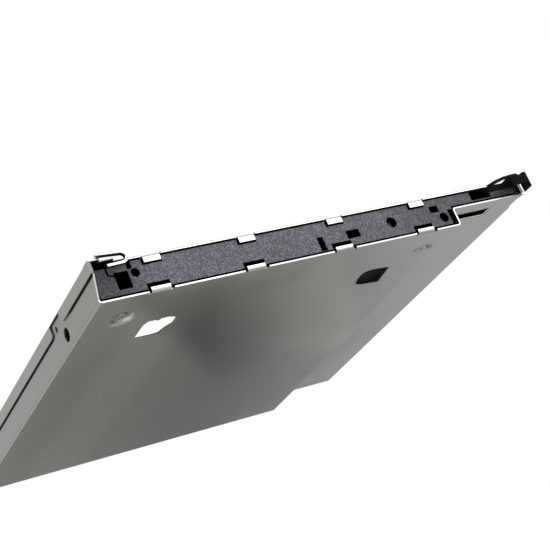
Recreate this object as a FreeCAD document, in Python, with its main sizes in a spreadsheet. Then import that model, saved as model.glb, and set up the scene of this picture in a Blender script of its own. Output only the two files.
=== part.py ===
import FreeCAD, Part
import math
import os
import Sketcher

# Laptop drive caddy: a folded steel case the size of a slim optical drive, which holds a 2.5 inch drive
# X runs along the front to the right, Y from the front into the case, Z up
# The origin is the lower left front corner of the pan, and the flat bottom lies at Z = 0

Vector = FreeCAD.Vector
document = FreeCAD.newDocument("laptop_drive_caddy")

# Driving dimensions in millimetres: alias, value, what it is
SIZES = [
    ("case_width", 128.0, "width over the left flange and the right wall"),
    ("case_depth", 126.5, "depth of the pan from its front edge"),
    ("case_height", 9.5, "height from the bottom to the top of the cover"),
    ("sheet", 0.4, "thickness of the pan and cover sheet"),
    ("bend_radius", 0.4, "inside radius of the pan's folds"),
    ("deep_share", 0.806, "share of the case's width that is full depth"),
    ("shelf_height", 4.8, "height of the underside of the shallow right part"),
    ("wall_reach", 2.6, "how far the left wall stands forward of the pan's edge"),
    ("wall_lean_drop", 2.7, "from the cover's top down to where the left wall has reached forward"),
    ("tab_width", 5.0, "width of the pan's front tabs"),
    ("upper_tab_width", 4.4, "width of the cover's front tabs"),
    ("tab_end_gap", 8.67, "from the last tab to the step wall"),
    ("tab_count", 4, "front tabs on each sheet"),
    ("lower_tab_start", 13.3, "left side of the pan's first tab"),
    ("lower_tab_rise", 1.3, "height of the pan's tabs"),
    ("upper_tab_start", 14.1, "left side of the cover's first tab"),
    ("upper_tab_drop", 1.5, "how far the cover's tabs hang below the cover"),
    ("relief_width", 0.8, "width of the relief beside a tab"),
    ("relief_depth", 0.9, "depth of the relief beside a tab"),
    ("left_dish_across", 9.4, "left screw dish, from the left wall"),
    ("left_dish_back", 11.6, "left screw dish, from the front edge"),
    ("left_dish_radius", 3.0, "left screw dish, radius at the bottom face"),
    ("right_dish_inset", 6.5, "right screw dish, from the step wall"),
    ("right_dish_back", 11.2, "right screw dish, from the front edge"),
    ("right_dish_radius", 2.1, "right screw dish, radius at the bottom face"),
    ("dish_depth", 0.6, "depth of a screw dish"),
    ("dish_slope", 0.55, "how much a dish narrows towards its bottom"),
    ("window_left", 17.45, "bottom window, left side"),
    ("window_front", 17.6, "bottom window, front side"),
    ("window_width", 9.2, "bottom window, width"),
    ("window_length", 10.15, "bottom window, length"),
    ("quadrant_inset", 11.9, "corner of the quadrant hole, from the step wall"),
    ("quadrant_back", 27.5, "corner of the quadrant hole, from the front edge"),
    ("quadrant_reach", 9.3, "size of the quadrant hole"),
    ("louvre_inset", 2.6, "louvre in the shelf, from the step wall"),
    ("louvre_share", 0.524, "louvre's width as a share of the shelf's"),
    ("louvre_front", 3.7, "louvre in the shelf, front edge"),
    ("louvre_length", 4.9, "louvre in the shelf, length"),
    ("louvre_rise", 1.5, "how far the louvre's tongue is pressed up"),
    ("edge_notch_front", 1.9, "notch in the right lower edge, front end"),
    ("edge_notch_length", 5.7, "notch in the right lower edge, length"),
    ("edge_notch_depth", 1.2, "notch in the right lower edge, depth"),
    ("return_width", 2.4, "width of the fold at the front of the right wall"),
    ("return_drop", 1.1, "from the cover down to the top of that fold"),
    ("drive_width", 69.85, "width of a 2.5 inch drive"),
    ("rear_zone", 12.55, "from the drive's rear end to the rear of the case"),
    ("drive_hole_height", 3.0, "side screw hole above the drive's underside"),
    ("drive_hole_end", 9.75, "side screw hole from the drive's plain end"),
    ("drive_hole_rear", 14.0, "side screw hole from the drive's connector end"),
    ("drive_gap", 0.2, "clearance on each side of the drive"),
    ("drive_screw_radius", 1.75, "clearance hole for an M3 drive screw"),
    ("bay_front", 13.4, "front end of the drive bay"),
    ("bracket_hole_radius", 0.8, "core of an M2 thread for a laptop's bracket"),
    ("bracket_hole_back", 28.2, "side bracket hole, from the front edge"),
    ("bracket_hole_drop", 2.4, "bracket holes, from the cover's top"),
    ("rear_hole_share", 0.25, "rear bracket holes, from the shelf's sides as a share of its width"),
    ("front_flange_end", 23.0, "rear end of the cover's front flange"),
    ("rear_flange_start", 31.0, "front end of the cover's long flange"),
    ("flange_drop", 3.1, "how far the flanges reach down from the cover's top"),
    ("flange_chamfer", 1.2, "cut corner of a flange"),
    ("left_strip", 12.6, "cover beside the drive's window, from the left wall"),
    ("cover_end_inset", 10.8, "right end of the cover's front strip, from the right wall"),
    ("corner_cut", 6.9, "depth of the cover's cut right front corner"),
    ("strip_width", 1.0, "width of the hairpin spring strip"),
    ("strip_rise_start", 2.0, "where the spring strip leaves the cover's level"),
    ("strip_thick", 0.6, "thickness of the spring strip with its rolled edge"),
    ("strip_curl_across", 8.0, "centre of the spring strip's curl"),
    ("strip_curl_radius", 1.5, "outer radius of the curl"),
    ("strip_lift", 1.25, "how far the strip's step stands above the cover"),
    ("strip_curl_lift", 0.85, "how far the top of its curl stands above the cover"),
    ("strip_end_across", 4.1, "free end of the strip"),
    ("strip_end_drop", 0.15, "how far the free end points down"),
    ("lip_reach", 1.4, "how far the cover stands forward beside the spring strip"),
    ("lip_end", 6.5, "right end of that part of the cover"),
    ("bar_front", 0.55, "front face of the plastic bar behind the sheet edges"),
    ("bar_depth", 6.0, "depth of the plastic bar"),
    ("bar_skin", 3.0, "front wall of the plastic bar"),
    ("bar_margin", 0.9, "upper and lower walls of the plastic bar"),
    ("bar_side_gap", 0.15, "clearance of the bar beside the walls"),
    ("bar_step_gap", 1.4, "open gap between the bar and the step wall"),
        ("cell_count", 10, "hollow cells behind the bar"),
    ("rib_thickness", 1.0, "thickness of the bar's ribs"),
    ("hole_reach", 2.6, "depth of the holes in the bar's face"),
    ("lug_radius", 1.9, "radius of the bar's screw lugs"),
    ("lug_height", 2.3, "height of the bar's screw lugs"),
    ("screw_radius", 0.8, "radius of the M2 screws"),
    ("screw_fit", 0.05, "clearance round the M2 screws"),
    ("screw_head_radius", 1.45, "radius of the bar screws' heads"),
    ("screw_head_height", 0.45, "height of the bar screws' heads"),
    ("catch_reach", 4.0, "how far the catch stands forward of the pan's edge"),
    ("catch_panel", 0.8, "thickness of the catch's walls"),
    ("catch_cheek", 0.5, "thickness of the catch's cheek"),
    ("catch_height", 3.0, "height of the catch's front wall"),
    ("catch_roof", 0.7, "thickness of the catch's arm and roof"),
    ("catch_roof_width", 5.2, "width of the catch's roof"),
    ("catch_block_height", 1.5, "height of the catch's block below the cover"),
    ("rail_sheet", 0.5, "thickness of the bay rail"),
    ("rail_foot", 5.0, "width of the bay rail's foot"),
    ("rail_lip", 3.5, "width of the bay rail's upper lip"),
    ("rail_window", 22.0, "length of the bay rail's windows"),
    ("rail_window_pitch", 31.0, "distance between the bay rail's windows"),
    ("rail_window_count", 3, "windows in the bay rail"),
    ("board_lift", 1.3, "height of the board above the pan's floor"),
    ("board_thick", 1.0, "thickness of the board"),
    ("board_left", 5.0, "left end of the board"),
    ("board_step_gap", 2.0, "from the board to the step wall"),
    ("board_front_gap", 0.6, "from the drive's rear end to the board"),
    ("board_rear_gap", 0.5, "from the board to the rear wall"),
    ("board_hole_back", 5.4, "board screws, from the board's front edge"),
    ("first_board_screw", 8.4, "left board screw, from the left wall"),
    ("second_screw_share", 0.2055, "middle board screw, share of the room between socket and plug"),
    ("third_screw_share", 0.7647, "right board screw, share of the room between socket and plug"),
    ("standoff_radius", 2.0, "radius of the board's standoffs"),
    ("insulator_thick", 0.15, "thickness of the insulating sheet"),
    ("socket_left", 13.0, "left end of the drive socket"),
    ("socket_width", 38.0, "length of the drive socket"),
    ("socket_reach", 4.3, "how far the socket enters the drive"),
    ("socket_body", 4.2, "depth of the socket's body on the board"),
    ("socket_height", 4.2, "height of the socket's nose"),
    ("socket_slot", 1.4, "height of the socket's slots"),
    ("signal_slot", 10.2, "length of the signal slot"),
    ("power_slot", 20.8, "length of the power slot"),
    ("slot_wall", 2.4, "from the socket's left end to the signal slot"),
    ("slot_bridge", 2.2, "between the two slots"),
    ("pin_pitch", 1.27, "distance between the socket's contacts"),
    ("pin_width", 0.6, "width of a socket contact"),
    ("pin_thick", 0.2, "thickness of a contact"),
    ("signal_pins", 7, "signal contacts"),
    ("power_pins", 15, "power contacts"),
    ("plug_inset", 23.4, "left end of the rear plug, from the board's right end"),
    ("plug_width", 22.4, "length of the rear plug"),
    ("plug_depth", 6.6, "depth of the rear plug"),
    ("plug_height", 4.3, "height of the rear plug"),
    ("plug_wall", 0.8, "walls of the rear plug"),
    ("tongue_thick", 1.0, "thickness of the plug's tongue"),
    ("plug_pitch", 1.0, "distance between the plug's contacts"),
    ("plug_pin_width", 0.45, "width of a plug contact"),
    ("plug_signal_pins", 7, "signal contacts of the plug"),
    ("plug_power_pins", 6, "power contacts of the plug"),
    ("key_gap", 1.6, "gap in the plug's tongue"),
    ("rear_window_gap", 0.2, "clearance of the rear wall round the plug"),
    ("post_radius", 2.2, "radius of the cover posts"),
    ("post_gap", 2.85, "left column of cover posts, from the rail's foot"),
    ("post_inset", 16.0, "cover posts, from the bay's ends"),
    ("wing_post_inset", 8.0, "cover posts on the shelf, from the right wall"),
    ("cover_head_radius", 1.9, "radius of the cover screws' heads"),
    ("cover_screw_stop", 1.0, "from the shelf to the cover screws' ends"),
    ("seat_gap", 0.02, "clearance between a flat screw head and its seat"),
]


class Size:
    """A length that carries its number and the expression that works it out from the sheet."""

    def __init__(self, number, text):
        self.number = float(number)
        self.text = text

    def __add__(self, other):
        other = as_size(other)
        return Size(self.number + other.number, "(%s + %s)" % (self.text, other.text))

    def __sub__(self, other):
        other = as_size(other)
        return Size(self.number - other.number, "(%s - %s)" % (self.text, other.text))

    def __mul__(self, other):
        other = as_size(other)
        return Size(self.number * other.number, "(%s * %s)" % (self.text, other.text))

    def __truediv__(self, other):
        other = as_size(other)
        return Size(self.number / other.number, "(%s / %s)" % (self.text, other.text))

    def __radd__(self, other):
        return as_size(other) + self

    def __rsub__(self, other):
        return as_size(other) - self

    def __rmul__(self, other):
        return as_size(other) * self

    def __neg__(self):
        return as_size(0) - self


def as_size(value):
    """A plain number becomes a Size with that number as its text."""
    if isinstance(value, Size):
        return value
    return Size(value, repr(float(value)))


class SizeSheet:
    """The spreadsheet of driving dimensions, read by alias."""

    def __init__(self, rows):
        self.table = document.addObject("Spreadsheet::Sheet", "Sizes")
        for row, (alias, number, meaning) in enumerate(rows, start=1):
            self.table.set("A%d" % row, meaning)
            self.table.set("B%d" % row, str(number))
            self.table.setAlias("B%d" % row, alias)
            setattr(self, alias, Size(number, "Sizes." + alias))
        document.recompute()


s = SizeSheet(SIZES)

# Levels and places that several pieces share
pan_right = s.case_width - s.sheet
lower_width = s.case_width * s.deep_share
shelf_width = pan_right - lower_width
cover_under = s.case_height - s.sheet
shelf_top = s.shelf_height + s.sheet
fold = s.bend_radius + s.sheet
wall_lean_top = s.case_height - s.wall_lean_drop
bracket_hole_height = s.case_height - s.bracket_hole_drop
tab_pitch = (lower_width - s.lower_tab_start - s.tab_width - s.tab_end_gap) / (s.tab_count - 1)
dish_top = s.dish_depth + s.sheet
right_dish_across = lower_width - s.right_dish_inset
quadrant_across = lower_width - s.quadrant_inset
louvre_left = lower_width + s.louvre_inset
louvre_width = shelf_width * s.louvre_share
cover_end = pan_right - s.cover_end_inset
bar_left = s.sheet + s.bar_side_gap
bar_lower_right = lower_width - s.sheet - s.bar_step_gap
bar_rear = s.bar_front + s.bar_depth
catch_left = cover_end + s.bar_side_gap
catch_split = cover_under - s.catch_block_height
drive_left = s.sheet + s.drive_gap
drive_front = s.bay_front + s.drive_gap
drive_rear = s.case_depth - s.rear_zone
bay_right = drive_left + s.drive_width + s.drive_gap
board_under = s.sheet + s.board_lift
board_top = board_under + s.board_thick
board_front = drive_rear + s.board_front_gap
board_rear = s.case_depth - s.sheet - s.board_rear_gap
board_right = lower_width - s.board_step_gap
plug_left = board_right - s.plug_inset
board_screw_back = board_front + s.board_hole_back
socket_right = s.socket_left + s.socket_width
connector_room = plug_left - socket_right
second_board_screw = socket_right + connector_room * s.second_screw_share
third_board_screw = socket_right + connector_room * s.third_screw_share
post_column = bay_right + s.rail_sheet + s.rail_foot + s.post_gap


# Building blocks
def bind(thing, prop, size):
    """Tie one property of a document object to the sheet."""
    thing.setExpression(prop, as_size(size).text)


def pin_one(sketch, geometry, point, kind, size):
    """Hold a sketch point at one distance from the sketch's origin."""
    size = as_size(size)
    if size.text == "0.0":
        axis = -2 if kind == "DistanceX" else -1
        sketch.addConstraint(Sketcher.Constraint("PointOnObject", geometry, point, axis))
    else:
        held = Sketcher.Constraint(kind, -1, 1, geometry, point, size.number)
        index = sketch.addConstraint(held)
        bind(sketch, "Constraints[%d]" % index, size)


def pin(sketch, geometry, point, across, up):
    """Hold a sketch point at two distances from the sketch's origin."""
    pin_one(sketch, geometry, point, "DistanceX", across)
    pin_one(sketch, geometry, point, "DistanceY", up)


def outline(sketch, corners):
    """Draw a closed outline. A corner is (across, up), or (across, up, centre, turn) where an arc follows."""
    places = [Vector(as_size(c[0]).number, as_size(c[1]).number, 0) for c in corners]
    edges = []
    for index, corner in enumerate(corners):
        start = places[index]
        end = places[(index + 1) % len(corners)]
        if len(corner) == 2:
            edges.append((sketch.addGeometry(Part.LineSegment(start, end)), 1, 2))
            continue
        centre = Vector(as_size(corner[2][0]).number, as_size(corner[2][1]).number, 0)
        chord = end - start
        angles = [math.atan2(place.y - centre.y, place.x - centre.x) for place in (start, end)]
        leftward = corner[3] > 0
        first, last = angles if leftward else reversed(angles)
        arc = Part.ArcOfCircle(Part.Circle(centre, Vector(0, 0, 1), (start - centre).Length), first, last)
        number = sketch.addGeometry(arc)
        edges.append((number, 1 if leftward else 2, 2 if leftward else 1))
        flat = abs(chord.x) > abs(chord.y)
        pin_one(sketch, number, 3, "DistanceY" if flat else "DistanceX", corner[2][1 if flat else 0])
    for index, edge in enumerate(edges):
        following = edges[(index + 1) % len(edges)]
        sketch.addConstraint(Sketcher.Constraint("Coincident", edge[0], edge[2], following[0], following[1]))
    for corner, edge in zip(corners, edges):
        pin(sketch, edge[0], edge[1], corner[0], corner[1])


def circle(sketch, across, up, radius):
    """Draw a circle held by its centre and its radius."""
    centre = Vector(as_size(across).number, as_size(up).number, 0)
    number = sketch.addGeometry(Part.Circle(centre, Vector(0, 0, 1), as_size(radius).number))
    pin(sketch, number, 3, across, up)
    held = sketch.addConstraint(Sketcher.Constraint("Radius", number, as_size(radius).number))
    bind(sketch, "Constraints[%d]" % held, radius)


def box_corners(left, right, low, high):
    """The four corners of a rectangle."""
    return [(left, low), (right, low), (right, high), (left, high)]


def origin_part(body, role):
    """One of a body's own origin planes or axes."""
    return [part for part in body.Origin.OriginFeatures if part.Role == role][0]


def new_body(name):
    """A PartDesign body that is one sub-part."""
    body = document.addObject("PartDesign::Body", name)
    body.Label = name
    return body


def new_sketch(body, name, plane, level=0, across=0):
    """A sketch on a plane through the given level of the axis that the plane faces."""
    sketch = body.newObject("Sketcher::SketchObject", name)
    sketch.AttachmentSupport = [(origin_part(body, plane), "")]
    sketch.MapMode = "FlatFace"
    height = -as_size(level) if plane == "XZ_Plane" else as_size(level)
    bind(sketch, "AttachmentOffset.Base.z", height)
    bind(sketch, "AttachmentOffset.Base.x", across)
    return sketch


def extrude(body, kind, name, plane, level, length, outlines=(), circles=()):
    """A Pad or Pocket that runs in the positive direction of its axis from the level."""
    sketch = new_sketch(body, name + "_sketch", plane, level)
    for corners in outlines:
        outline(sketch, corners)
    for across, up, radius in circles:
        circle(sketch, across, up, radius)
    feature = body.newObject("PartDesign::" + kind, name)
    feature.Profile = sketch
    faces_back = plane == "XZ_Plane"
    feature.Reversed = faces_back if kind == "Pad" else not faces_back
    bind(feature, "Length", length)
    return feature


def pad(body, name, plane, level, length, *outlines):
    return extrude(body, "Pad", name, plane, level, length, outlines)


def pocket(body, name, plane, level, length, *outlines):
    return extrude(body, "Pocket", name, plane, level, length, outlines)


def drill(body, name, plane, level, length, *circles):
    return extrude(body, "Pocket", name, plane, level, length, (), circles)


def turned(body, kind, name, across, back, corners):
    """A Revolution or Groove about a vertical axis at the given place."""
    sketch = new_sketch(body, name + "_sketch", "XZ_Plane", back, across)
    outline(sketch, corners)
    feature = body.newObject("PartDesign::" + kind, name)
    feature.Profile = sketch
    feature.ReferenceAxis = (sketch, ["V_Axis"])
    feature.Angle = 360
    return feature


def repeat(body, feature, name, pitch, count, axis="X_Axis"):
    """Copies of a feature in a row."""
    pattern = body.newObject("PartDesign::LinearPattern", name)
    pattern.Originals = [feature]
    pattern.Direction = (origin_part(body, axis), [""])
    bind(pattern, "Length", pitch * (count - 1))
    bind(pattern, "Occurrences", count)
    body.Tip = pattern
    return pattern


def round_edges(body, feature, name, axis, places, radius):
    """A fillet on the edges that run along an axis through the given places of the other two."""
    document.recompute()
    wanted = []
    for number, edge in enumerate(feature.Shape.Edges, start=1):
        start = edge.Vertexes[0].Point
        end = edge.Vertexes[-1].Point
        run = end - start
        if abs(abs(run[axis]) - run.Length) > 1e-6 or run.Length < 1e-6:
            continue
        others = [i for i in range(3) if i != axis]
        for place in places:
            first, second = [as_size(value).number for value in place]
            if abs(start[others[0]] - first) < 1e-4 and abs(start[others[1]] - second) < 1e-4:
                wanted.append("Edge%d" % number)
    fillet = body.newObject("PartDesign::Fillet", name)
    fillet.Base = (feature, wanted)
    bind(fillet, "Radius", radius)
    return fillet


def cylinder(name, across, back, low, high, radius):
    """An upright cylinder between two levels."""
    solid = document.addObject("Part::Cylinder", name)
    bind(solid, "Radius", radius)
    bind(solid, "Height", as_size(high) - low)
    bind(solid, "Placement.Base.x", across)
    bind(solid, "Placement.Base.y", back)
    bind(solid, "Placement.Base.z", low)
    return solid


def hexagon(name, across, back, low, high, radius):
    """An upright hexagonal post between two levels, with the radius of its corners."""
    solid = document.addObject("Part::Prism", name)
    solid.Polygon = 6
    bind(solid, "Circumradius", radius)
    bind(solid, "Height", as_size(high) - low)
    bind(solid, "Placement.Base.x", across)
    bind(solid, "Placement.Base.y", back)
    bind(solid, "Placement.Base.z", low)
    return solid


def cone(name, across, back, low, high, low_radius, high_radius):
    """An upright cone between two levels."""
    solid = document.addObject("Part::Cone", name)
    bind(solid, "Radius1", low_radius)
    bind(solid, "Radius2", high_radius)
    bind(solid, "Height", as_size(high) - low)
    bind(solid, "Placement.Base.x", across)
    bind(solid, "Placement.Base.y", back)
    bind(solid, "Placement.Base.z", low)
    return solid


def fuse(name, *solids):
    joined = document.addObject("Part::MultiFuse", name)
    joined.Shapes = list(solids)
    return joined


def take_away(name, base, tool):
    """One solid less another."""
    result = document.addObject("Part::Cut", name)
    result.Base = base
    result.Tool = tool
    return result


def group(name, solids):
    """Like pieces that share one node as separate solids."""
    together = document.addObject("Part::Compound", name)
    together.Label = name
    together.Links = solids
    return together


# Folded pan
def make_bottom_pan():
    pan = new_body("bottom_pan")
    section = [
        (0, 0),
        (lower_width, 0),
        (lower_width, s.shelf_height),
        (pan_right, s.shelf_height),
        (pan_right, cover_under),
        (pan_right - s.sheet, cover_under),
        (pan_right - s.sheet, shelf_top),
        (lower_width - s.sheet, shelf_top),
        (lower_width - s.sheet, s.sheet),
        (s.sheet, s.sheet),
        (s.sheet, cover_under),
        (0, cover_under),
    ]
    trough = pad(pan, "pan_section", "XZ_Plane", 0, s.case_depth, section)
    outer_folds = [(0, 0), (lower_width, 0), (pan_right, s.shelf_height)]
    outer_folds.append((lower_width - s.sheet, shelf_top))
    inner_folds = [(s.sheet, s.sheet), (lower_width - s.sheet, s.sheet)]
    inner_folds += [(lower_width, s.shelf_height), (pan_right - s.sheet, shelf_top)]
    outside = round_edges(pan, trough, "outer_folds", 1, outer_folds, fold)
    round_edges(pan, outside, "inner_folds", 1, inner_folds, s.bend_radius)

    # The left wall leans forward of the floor's edge
    nose = [
        (1.0, fold),
        (0, fold),
        (-s.wall_reach, wall_lean_top),
        (-s.wall_reach, cover_under),
        (1.0, cover_under),
    ]
    pad(pan, "left_wall_nose", "YZ_Plane", 0, s.sheet, nose)

    # Rear walls, bent up from the floor and from the shelf
    rear_deep = box_corners(2 * fold, lower_width - 2 * fold, 0, cover_under)
    rear_wing = box_corners(lower_width + fold, pan_right - 2 * fold, s.shelf_height, cover_under)
    pad(pan, "rear_walls", "XZ_Plane", s.case_depth - s.sheet, s.sheet, rear_deep, rear_wing)
    plug_right = plug_left + s.plug_width + s.rear_window_gap
    plug_high = board_top + s.plug_height + s.rear_window_gap
    plug_low = board_top - s.rear_window_gap
    rear_window = box_corners(plug_left - s.rear_window_gap, plug_right, plug_low, plug_high)
    pocket(pan, "rear_window", "XZ_Plane", s.case_depth - 1, 2, rear_window)

    # Front tabs that hold the plastic bar: bent up from the floor, with a relief on each side
    tab_left = s.lower_tab_start
    tab_right = tab_left + s.tab_width
    tab_room = box_corners(tab_left - s.relief_width, tab_right + s.relief_width, -1, s.relief_depth)
    first_room = pocket(pan, "tab_room", "XY_Plane", -1, s.sheet + 1.2, tab_room)
    repeat(pan, first_room, "tab_rooms", tab_pitch, s.tab_count)
    bent_tab = [
        (s.relief_depth + 0.3, 0),
        (fold, 0, (fold, fold), -1),
        (0, fold),
        (0, s.lower_tab_rise),
        (s.sheet, s.lower_tab_rise),
        (s.sheet, fold, (fold, fold), 1),
        (fold, s.sheet),
        (s.relief_depth + 0.3, s.sheet),
    ]
    first_tab = pad(pan, "front_tab", "YZ_Plane", tab_left, s.tab_width, bent_tab)
    repeat(pan, first_tab, "front_tabs", tab_pitch, s.tab_count)

    # Screw dishes pressed up into the case
    dishes = [
        ("left_dish", s.left_dish_across, s.left_dish_back, s.left_dish_radius),
        ("right_dish", right_dish_across, s.right_dish_back, s.right_dish_radius),
    ]
    for name, across, back, radius in dishes:
        bowl = [(0, s.sheet / 2), (radius + s.sheet, s.sheet / 2)]
        bowl += [(radius + s.sheet, s.sheet), (radius + s.sheet - s.dish_slope, dish_top), (0, dish_top)]
        turned(pan, "Revolution", name + "_bowl", across, back, bowl)
        hollow = [(0, -0.5), (radius, -0.5), (radius, 0), (radius - s.dish_slope, s.dish_depth)]
        hollow.append((0, s.dish_depth))
        turned(pan, "Groove", name, across, back, hollow)
        drill(pan, name + "_hole", "XY_Plane", 0, 2, (across, back, s.screw_radius + 0.3))

    # Windows in the floor
    left = s.window_left
    front = s.window_front
    right = left + s.window_width
    rear = front + s.window_length
    window = [
        (left, rear - 1.3),
        (left, front + 2.0),
        (left + 0.85, front + 0.3),
        (left + 2.7, front + 0.35),
        (left + 3.9, front + 1.1),
        (left + 4.3, front + 0.15),
        (left + 6.1, front),
        (right - 1.0, front + 0.85),
        (right, front + 2.6),
        (right - 0.1, front + 5.3),
        (right - 1.6, rear - 2.6),
        (right - 1.9, rear - 1.7),
        (right - 2.3, rear - 0.4),
        (right - 4.2, rear),
        (left + 0.9, rear - 0.1),
    ]
    pocket(pan, "bottom_window", "XY_Plane", -1, 3, window)
    reach = s.quadrant_reach
    shares = [
        (0.0, 0.0),
        (0.66, 0.10),
        (0.83, 0.16),
        (0.97, 0.32),
        (1.04, 0.58),
        (1.07, 0.88),
        (1.02, 1.00),
        (0.93, 1.06),
        (0.78, 1.09),
        (0.47, 1.06),
        (0.14, 0.99),
    ]
    quadrant = [(quadrant_across - reach * left, s.quadrant_back - reach * front) for left, front in shares]
    pocket(pan, "quadrant_hole", "XY_Plane", -1, 3, quadrant)

    # Louvre in the shelf: a slot and the tongue that is pressed up from it
    louvre_rear = s.louvre_front + s.louvre_length
    louvre_right = louvre_left + louvre_width
    slot = box_corners(louvre_left, louvre_right, s.louvre_front, louvre_rear)
    pocket(pan, "louvre_slot", "XY_Plane", s.shelf_height - 1, 3, slot)
    tongue = [
        (s.louvre_front - s.sheet, s.shelf_height),
        (s.louvre_front, s.shelf_height),
        (louvre_rear, s.shelf_height + s.louvre_rise),
        (louvre_rear, shelf_top + s.louvre_rise),
        (s.louvre_front, shelf_top),
        (s.louvre_front - s.sheet, shelf_top),
    ]
    pad(pan, "louvre_tongue", "YZ_Plane", louvre_left, louvre_width, tongue)

    # Right edge: a notch in the fold and a return at the front of the wall
    notch_rear = s.edge_notch_front + s.edge_notch_length
    notch = box_corners(pan_right - s.edge_notch_depth, pan_right + 1, s.edge_notch_front, notch_rear)
    pocket(pan, "edge_notch", "XY_Plane", s.shelf_height - 1, 2.4, notch)
    wall_fold = box_corners(pan_right - s.return_width, pan_right, s.shelf_height, cover_under - s.return_drop)
    pad(pan, "wall_return", "XZ_Plane", 0, s.sheet, wall_fold)

    # Screw holes in the walls
    hole_height = s.sheet + s.drive_hole_height
    first_hole = drive_front + s.drive_hole_end
    drive_holes = [(first_hole, hole_height, s.drive_screw_radius)]
    drive_holes.append((drive_rear - s.drive_hole_rear, hole_height, s.drive_screw_radius))
    drill(pan, "drive_screw_holes", "YZ_Plane", -1, 2, *drive_holes)
    side_hole = (s.bracket_hole_back, bracket_hole_height, s.bracket_hole_radius)
    drill(pan, "left_bracket_hole", "YZ_Plane", -1, 2, side_hole)
    drill(pan, "right_bracket_hole", "YZ_Plane", pan_right - 1, 2, side_hole)
    rear_holes = [
        (lower_width + shelf_width * s.rear_hole_share, bracket_hole_height, s.bracket_hole_radius),
        (pan_right - shelf_width * s.rear_hole_share, bracket_hole_height, s.bracket_hole_radius),
    ]
    drill(pan, "rear_bracket_holes", "XZ_Plane", s.case_depth - 1, 2, *rear_holes)
    return pan


def cover_screw_places():
    """Where the cover is screwed down: two posts on the floor and two on the shelf."""
    wing_column = pan_right - s.wing_post_inset
    front_row = s.bay_front + s.post_inset
    rear_row = drive_rear - s.post_inset
    return [
        (post_column, front_row, s.sheet),
        (post_column, rear_row, s.sheet),
        (wing_column, front_row, shelf_top),
        (wing_column, rear_row, shelf_top),
    ]


# Cover with its flanges, front tabs and hairpin spring strip
def make_top_cover():
    cover = new_body("top_cover")
    plate = [
        (-s.sheet, 0),
        (cover_end, 0),
        (cover_end, s.corner_cut),
        (pan_right, s.corner_cut),
        (pan_right, s.case_depth),
        (-s.sheet, s.case_depth),
    ]
    bay = box_corners(s.left_strip, bay_right, s.bay_front, board_front)
    pad(cover, "cover_plate", "XY_Plane", cover_under, s.sheet, plate, bay)
    flange_low = s.case_height - s.flange_drop
    front_flange = [
        (-s.wall_reach, s.case_height),
        (-s.wall_reach, flange_low),
        (s.front_flange_end - s.flange_chamfer, flange_low),
        (s.front_flange_end, flange_low + s.flange_chamfer),
        (s.front_flange_end, s.case_height),
    ]
    rear_flange = [
        (s.rear_flange_start, s.case_height),
        (s.rear_flange_start, flange_low + s.flange_chamfer / 3),
        (s.rear_flange_start + s.flange_chamfer, flange_low),
        (s.case_depth, flange_low),
        (s.case_depth, s.case_height),
    ]
    flanges = pad(cover, "side_flanges", "YZ_Plane", -s.sheet, s.sheet, front_flange, rear_flange)
    round_edges(cover, flanges, "cover_fold", 1, [(-s.sheet, s.case_height)], s.bend_radius * 0.75)
    tab_low = cover_under - s.upper_tab_drop
    hung_tab = [
        (fold + 0.3, s.case_height),
        (fold + 0.3, cover_under),
        (fold, cover_under, (fold, s.case_height - fold), 1),
        (s.sheet, s.case_height - fold),
        (s.sheet, tab_low),
        (0, tab_low),
        (0, s.case_height - fold, (fold, s.case_height - fold), -1),
        (fold, s.case_height),
    ]
    tab_right = s.upper_tab_start + s.upper_tab_width
    tab_room = box_corners(s.upper_tab_start - 0.4, tab_right + 0.4, -1, fold + 0.05)
    first_room = pocket(cover, "cover_tab_room", "XY_Plane", cover_under - 1, 3, tab_room)
    repeat(cover, first_room, "cover_tab_rooms", tab_pitch, s.tab_count)
    first_tab = pad(cover, "cover_tab", "YZ_Plane", s.upper_tab_start, s.upper_tab_width, hung_tab)
    repeat(cover, first_tab, "cover_tabs", tab_pitch, s.tab_count)

    # Hairpin strip: it leaves the corner, steps up, curls under itself and points back to the left
    # The cover stands forward beside it, with a slit between the two
    lip = box_corners(-s.sheet, s.lip_end, -s.lip_reach, 0.2)
    pad(cover, "front_lip", "XY_Plane", cover_under, s.sheet, lip)
    curl_across = s.strip_curl_across
    curl_high = s.case_height + s.strip_curl_lift
    curl_centre = curl_high - s.strip_curl_radius
    curl_low = curl_centre - s.strip_curl_radius
    step_high = s.case_height + s.strip_lift
    end_low = curl_low - s.strip_end_drop
    hairpin = [
        (0, cover_under),
        (0, s.case_height),
        (s.strip_rise_start, s.case_height),
        (s.strip_rise_start + 0.2, step_high),
        (curl_across, curl_high, (curl_across, curl_centre), -1),
        (curl_across, curl_low),
        (s.strip_end_across, end_low),
        (s.strip_end_across - 0.1, end_low + s.strip_thick),
        (curl_across, curl_low + s.strip_thick, (curl_across, curl_centre), 1),
        (curl_across, curl_high - s.strip_thick),
        (s.strip_rise_start + s.strip_thick + 0.2, step_high - s.strip_thick),
        (s.strip_rise_start + s.strip_thick, cover_under),
    ]
    pad(cover, "hairpin_strip", "XZ_Plane", -s.wall_reach, s.strip_width, hairpin)
    root = box_corners(-s.sheet, 0.6, -s.wall_reach, 0.1 - s.lip_reach)
    pad(cover, "hairpin_root", "XY_Plane", cover_under, s.sheet, root)
    for number, (across, back, low) in enumerate(cover_screw_places(), start=1):
        seat = [(0, 0), (s.screw_radius + 0.3, 0), (s.cover_head_radius, s.sheet), (0, s.sheet)]
        lifted = [(a, as_size(b) + cover_under) for a, b in seat]
        turned(cover, "Groove", "cover_screw_seat_%d" % number, across, back, lifted)
    return cover


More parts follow.
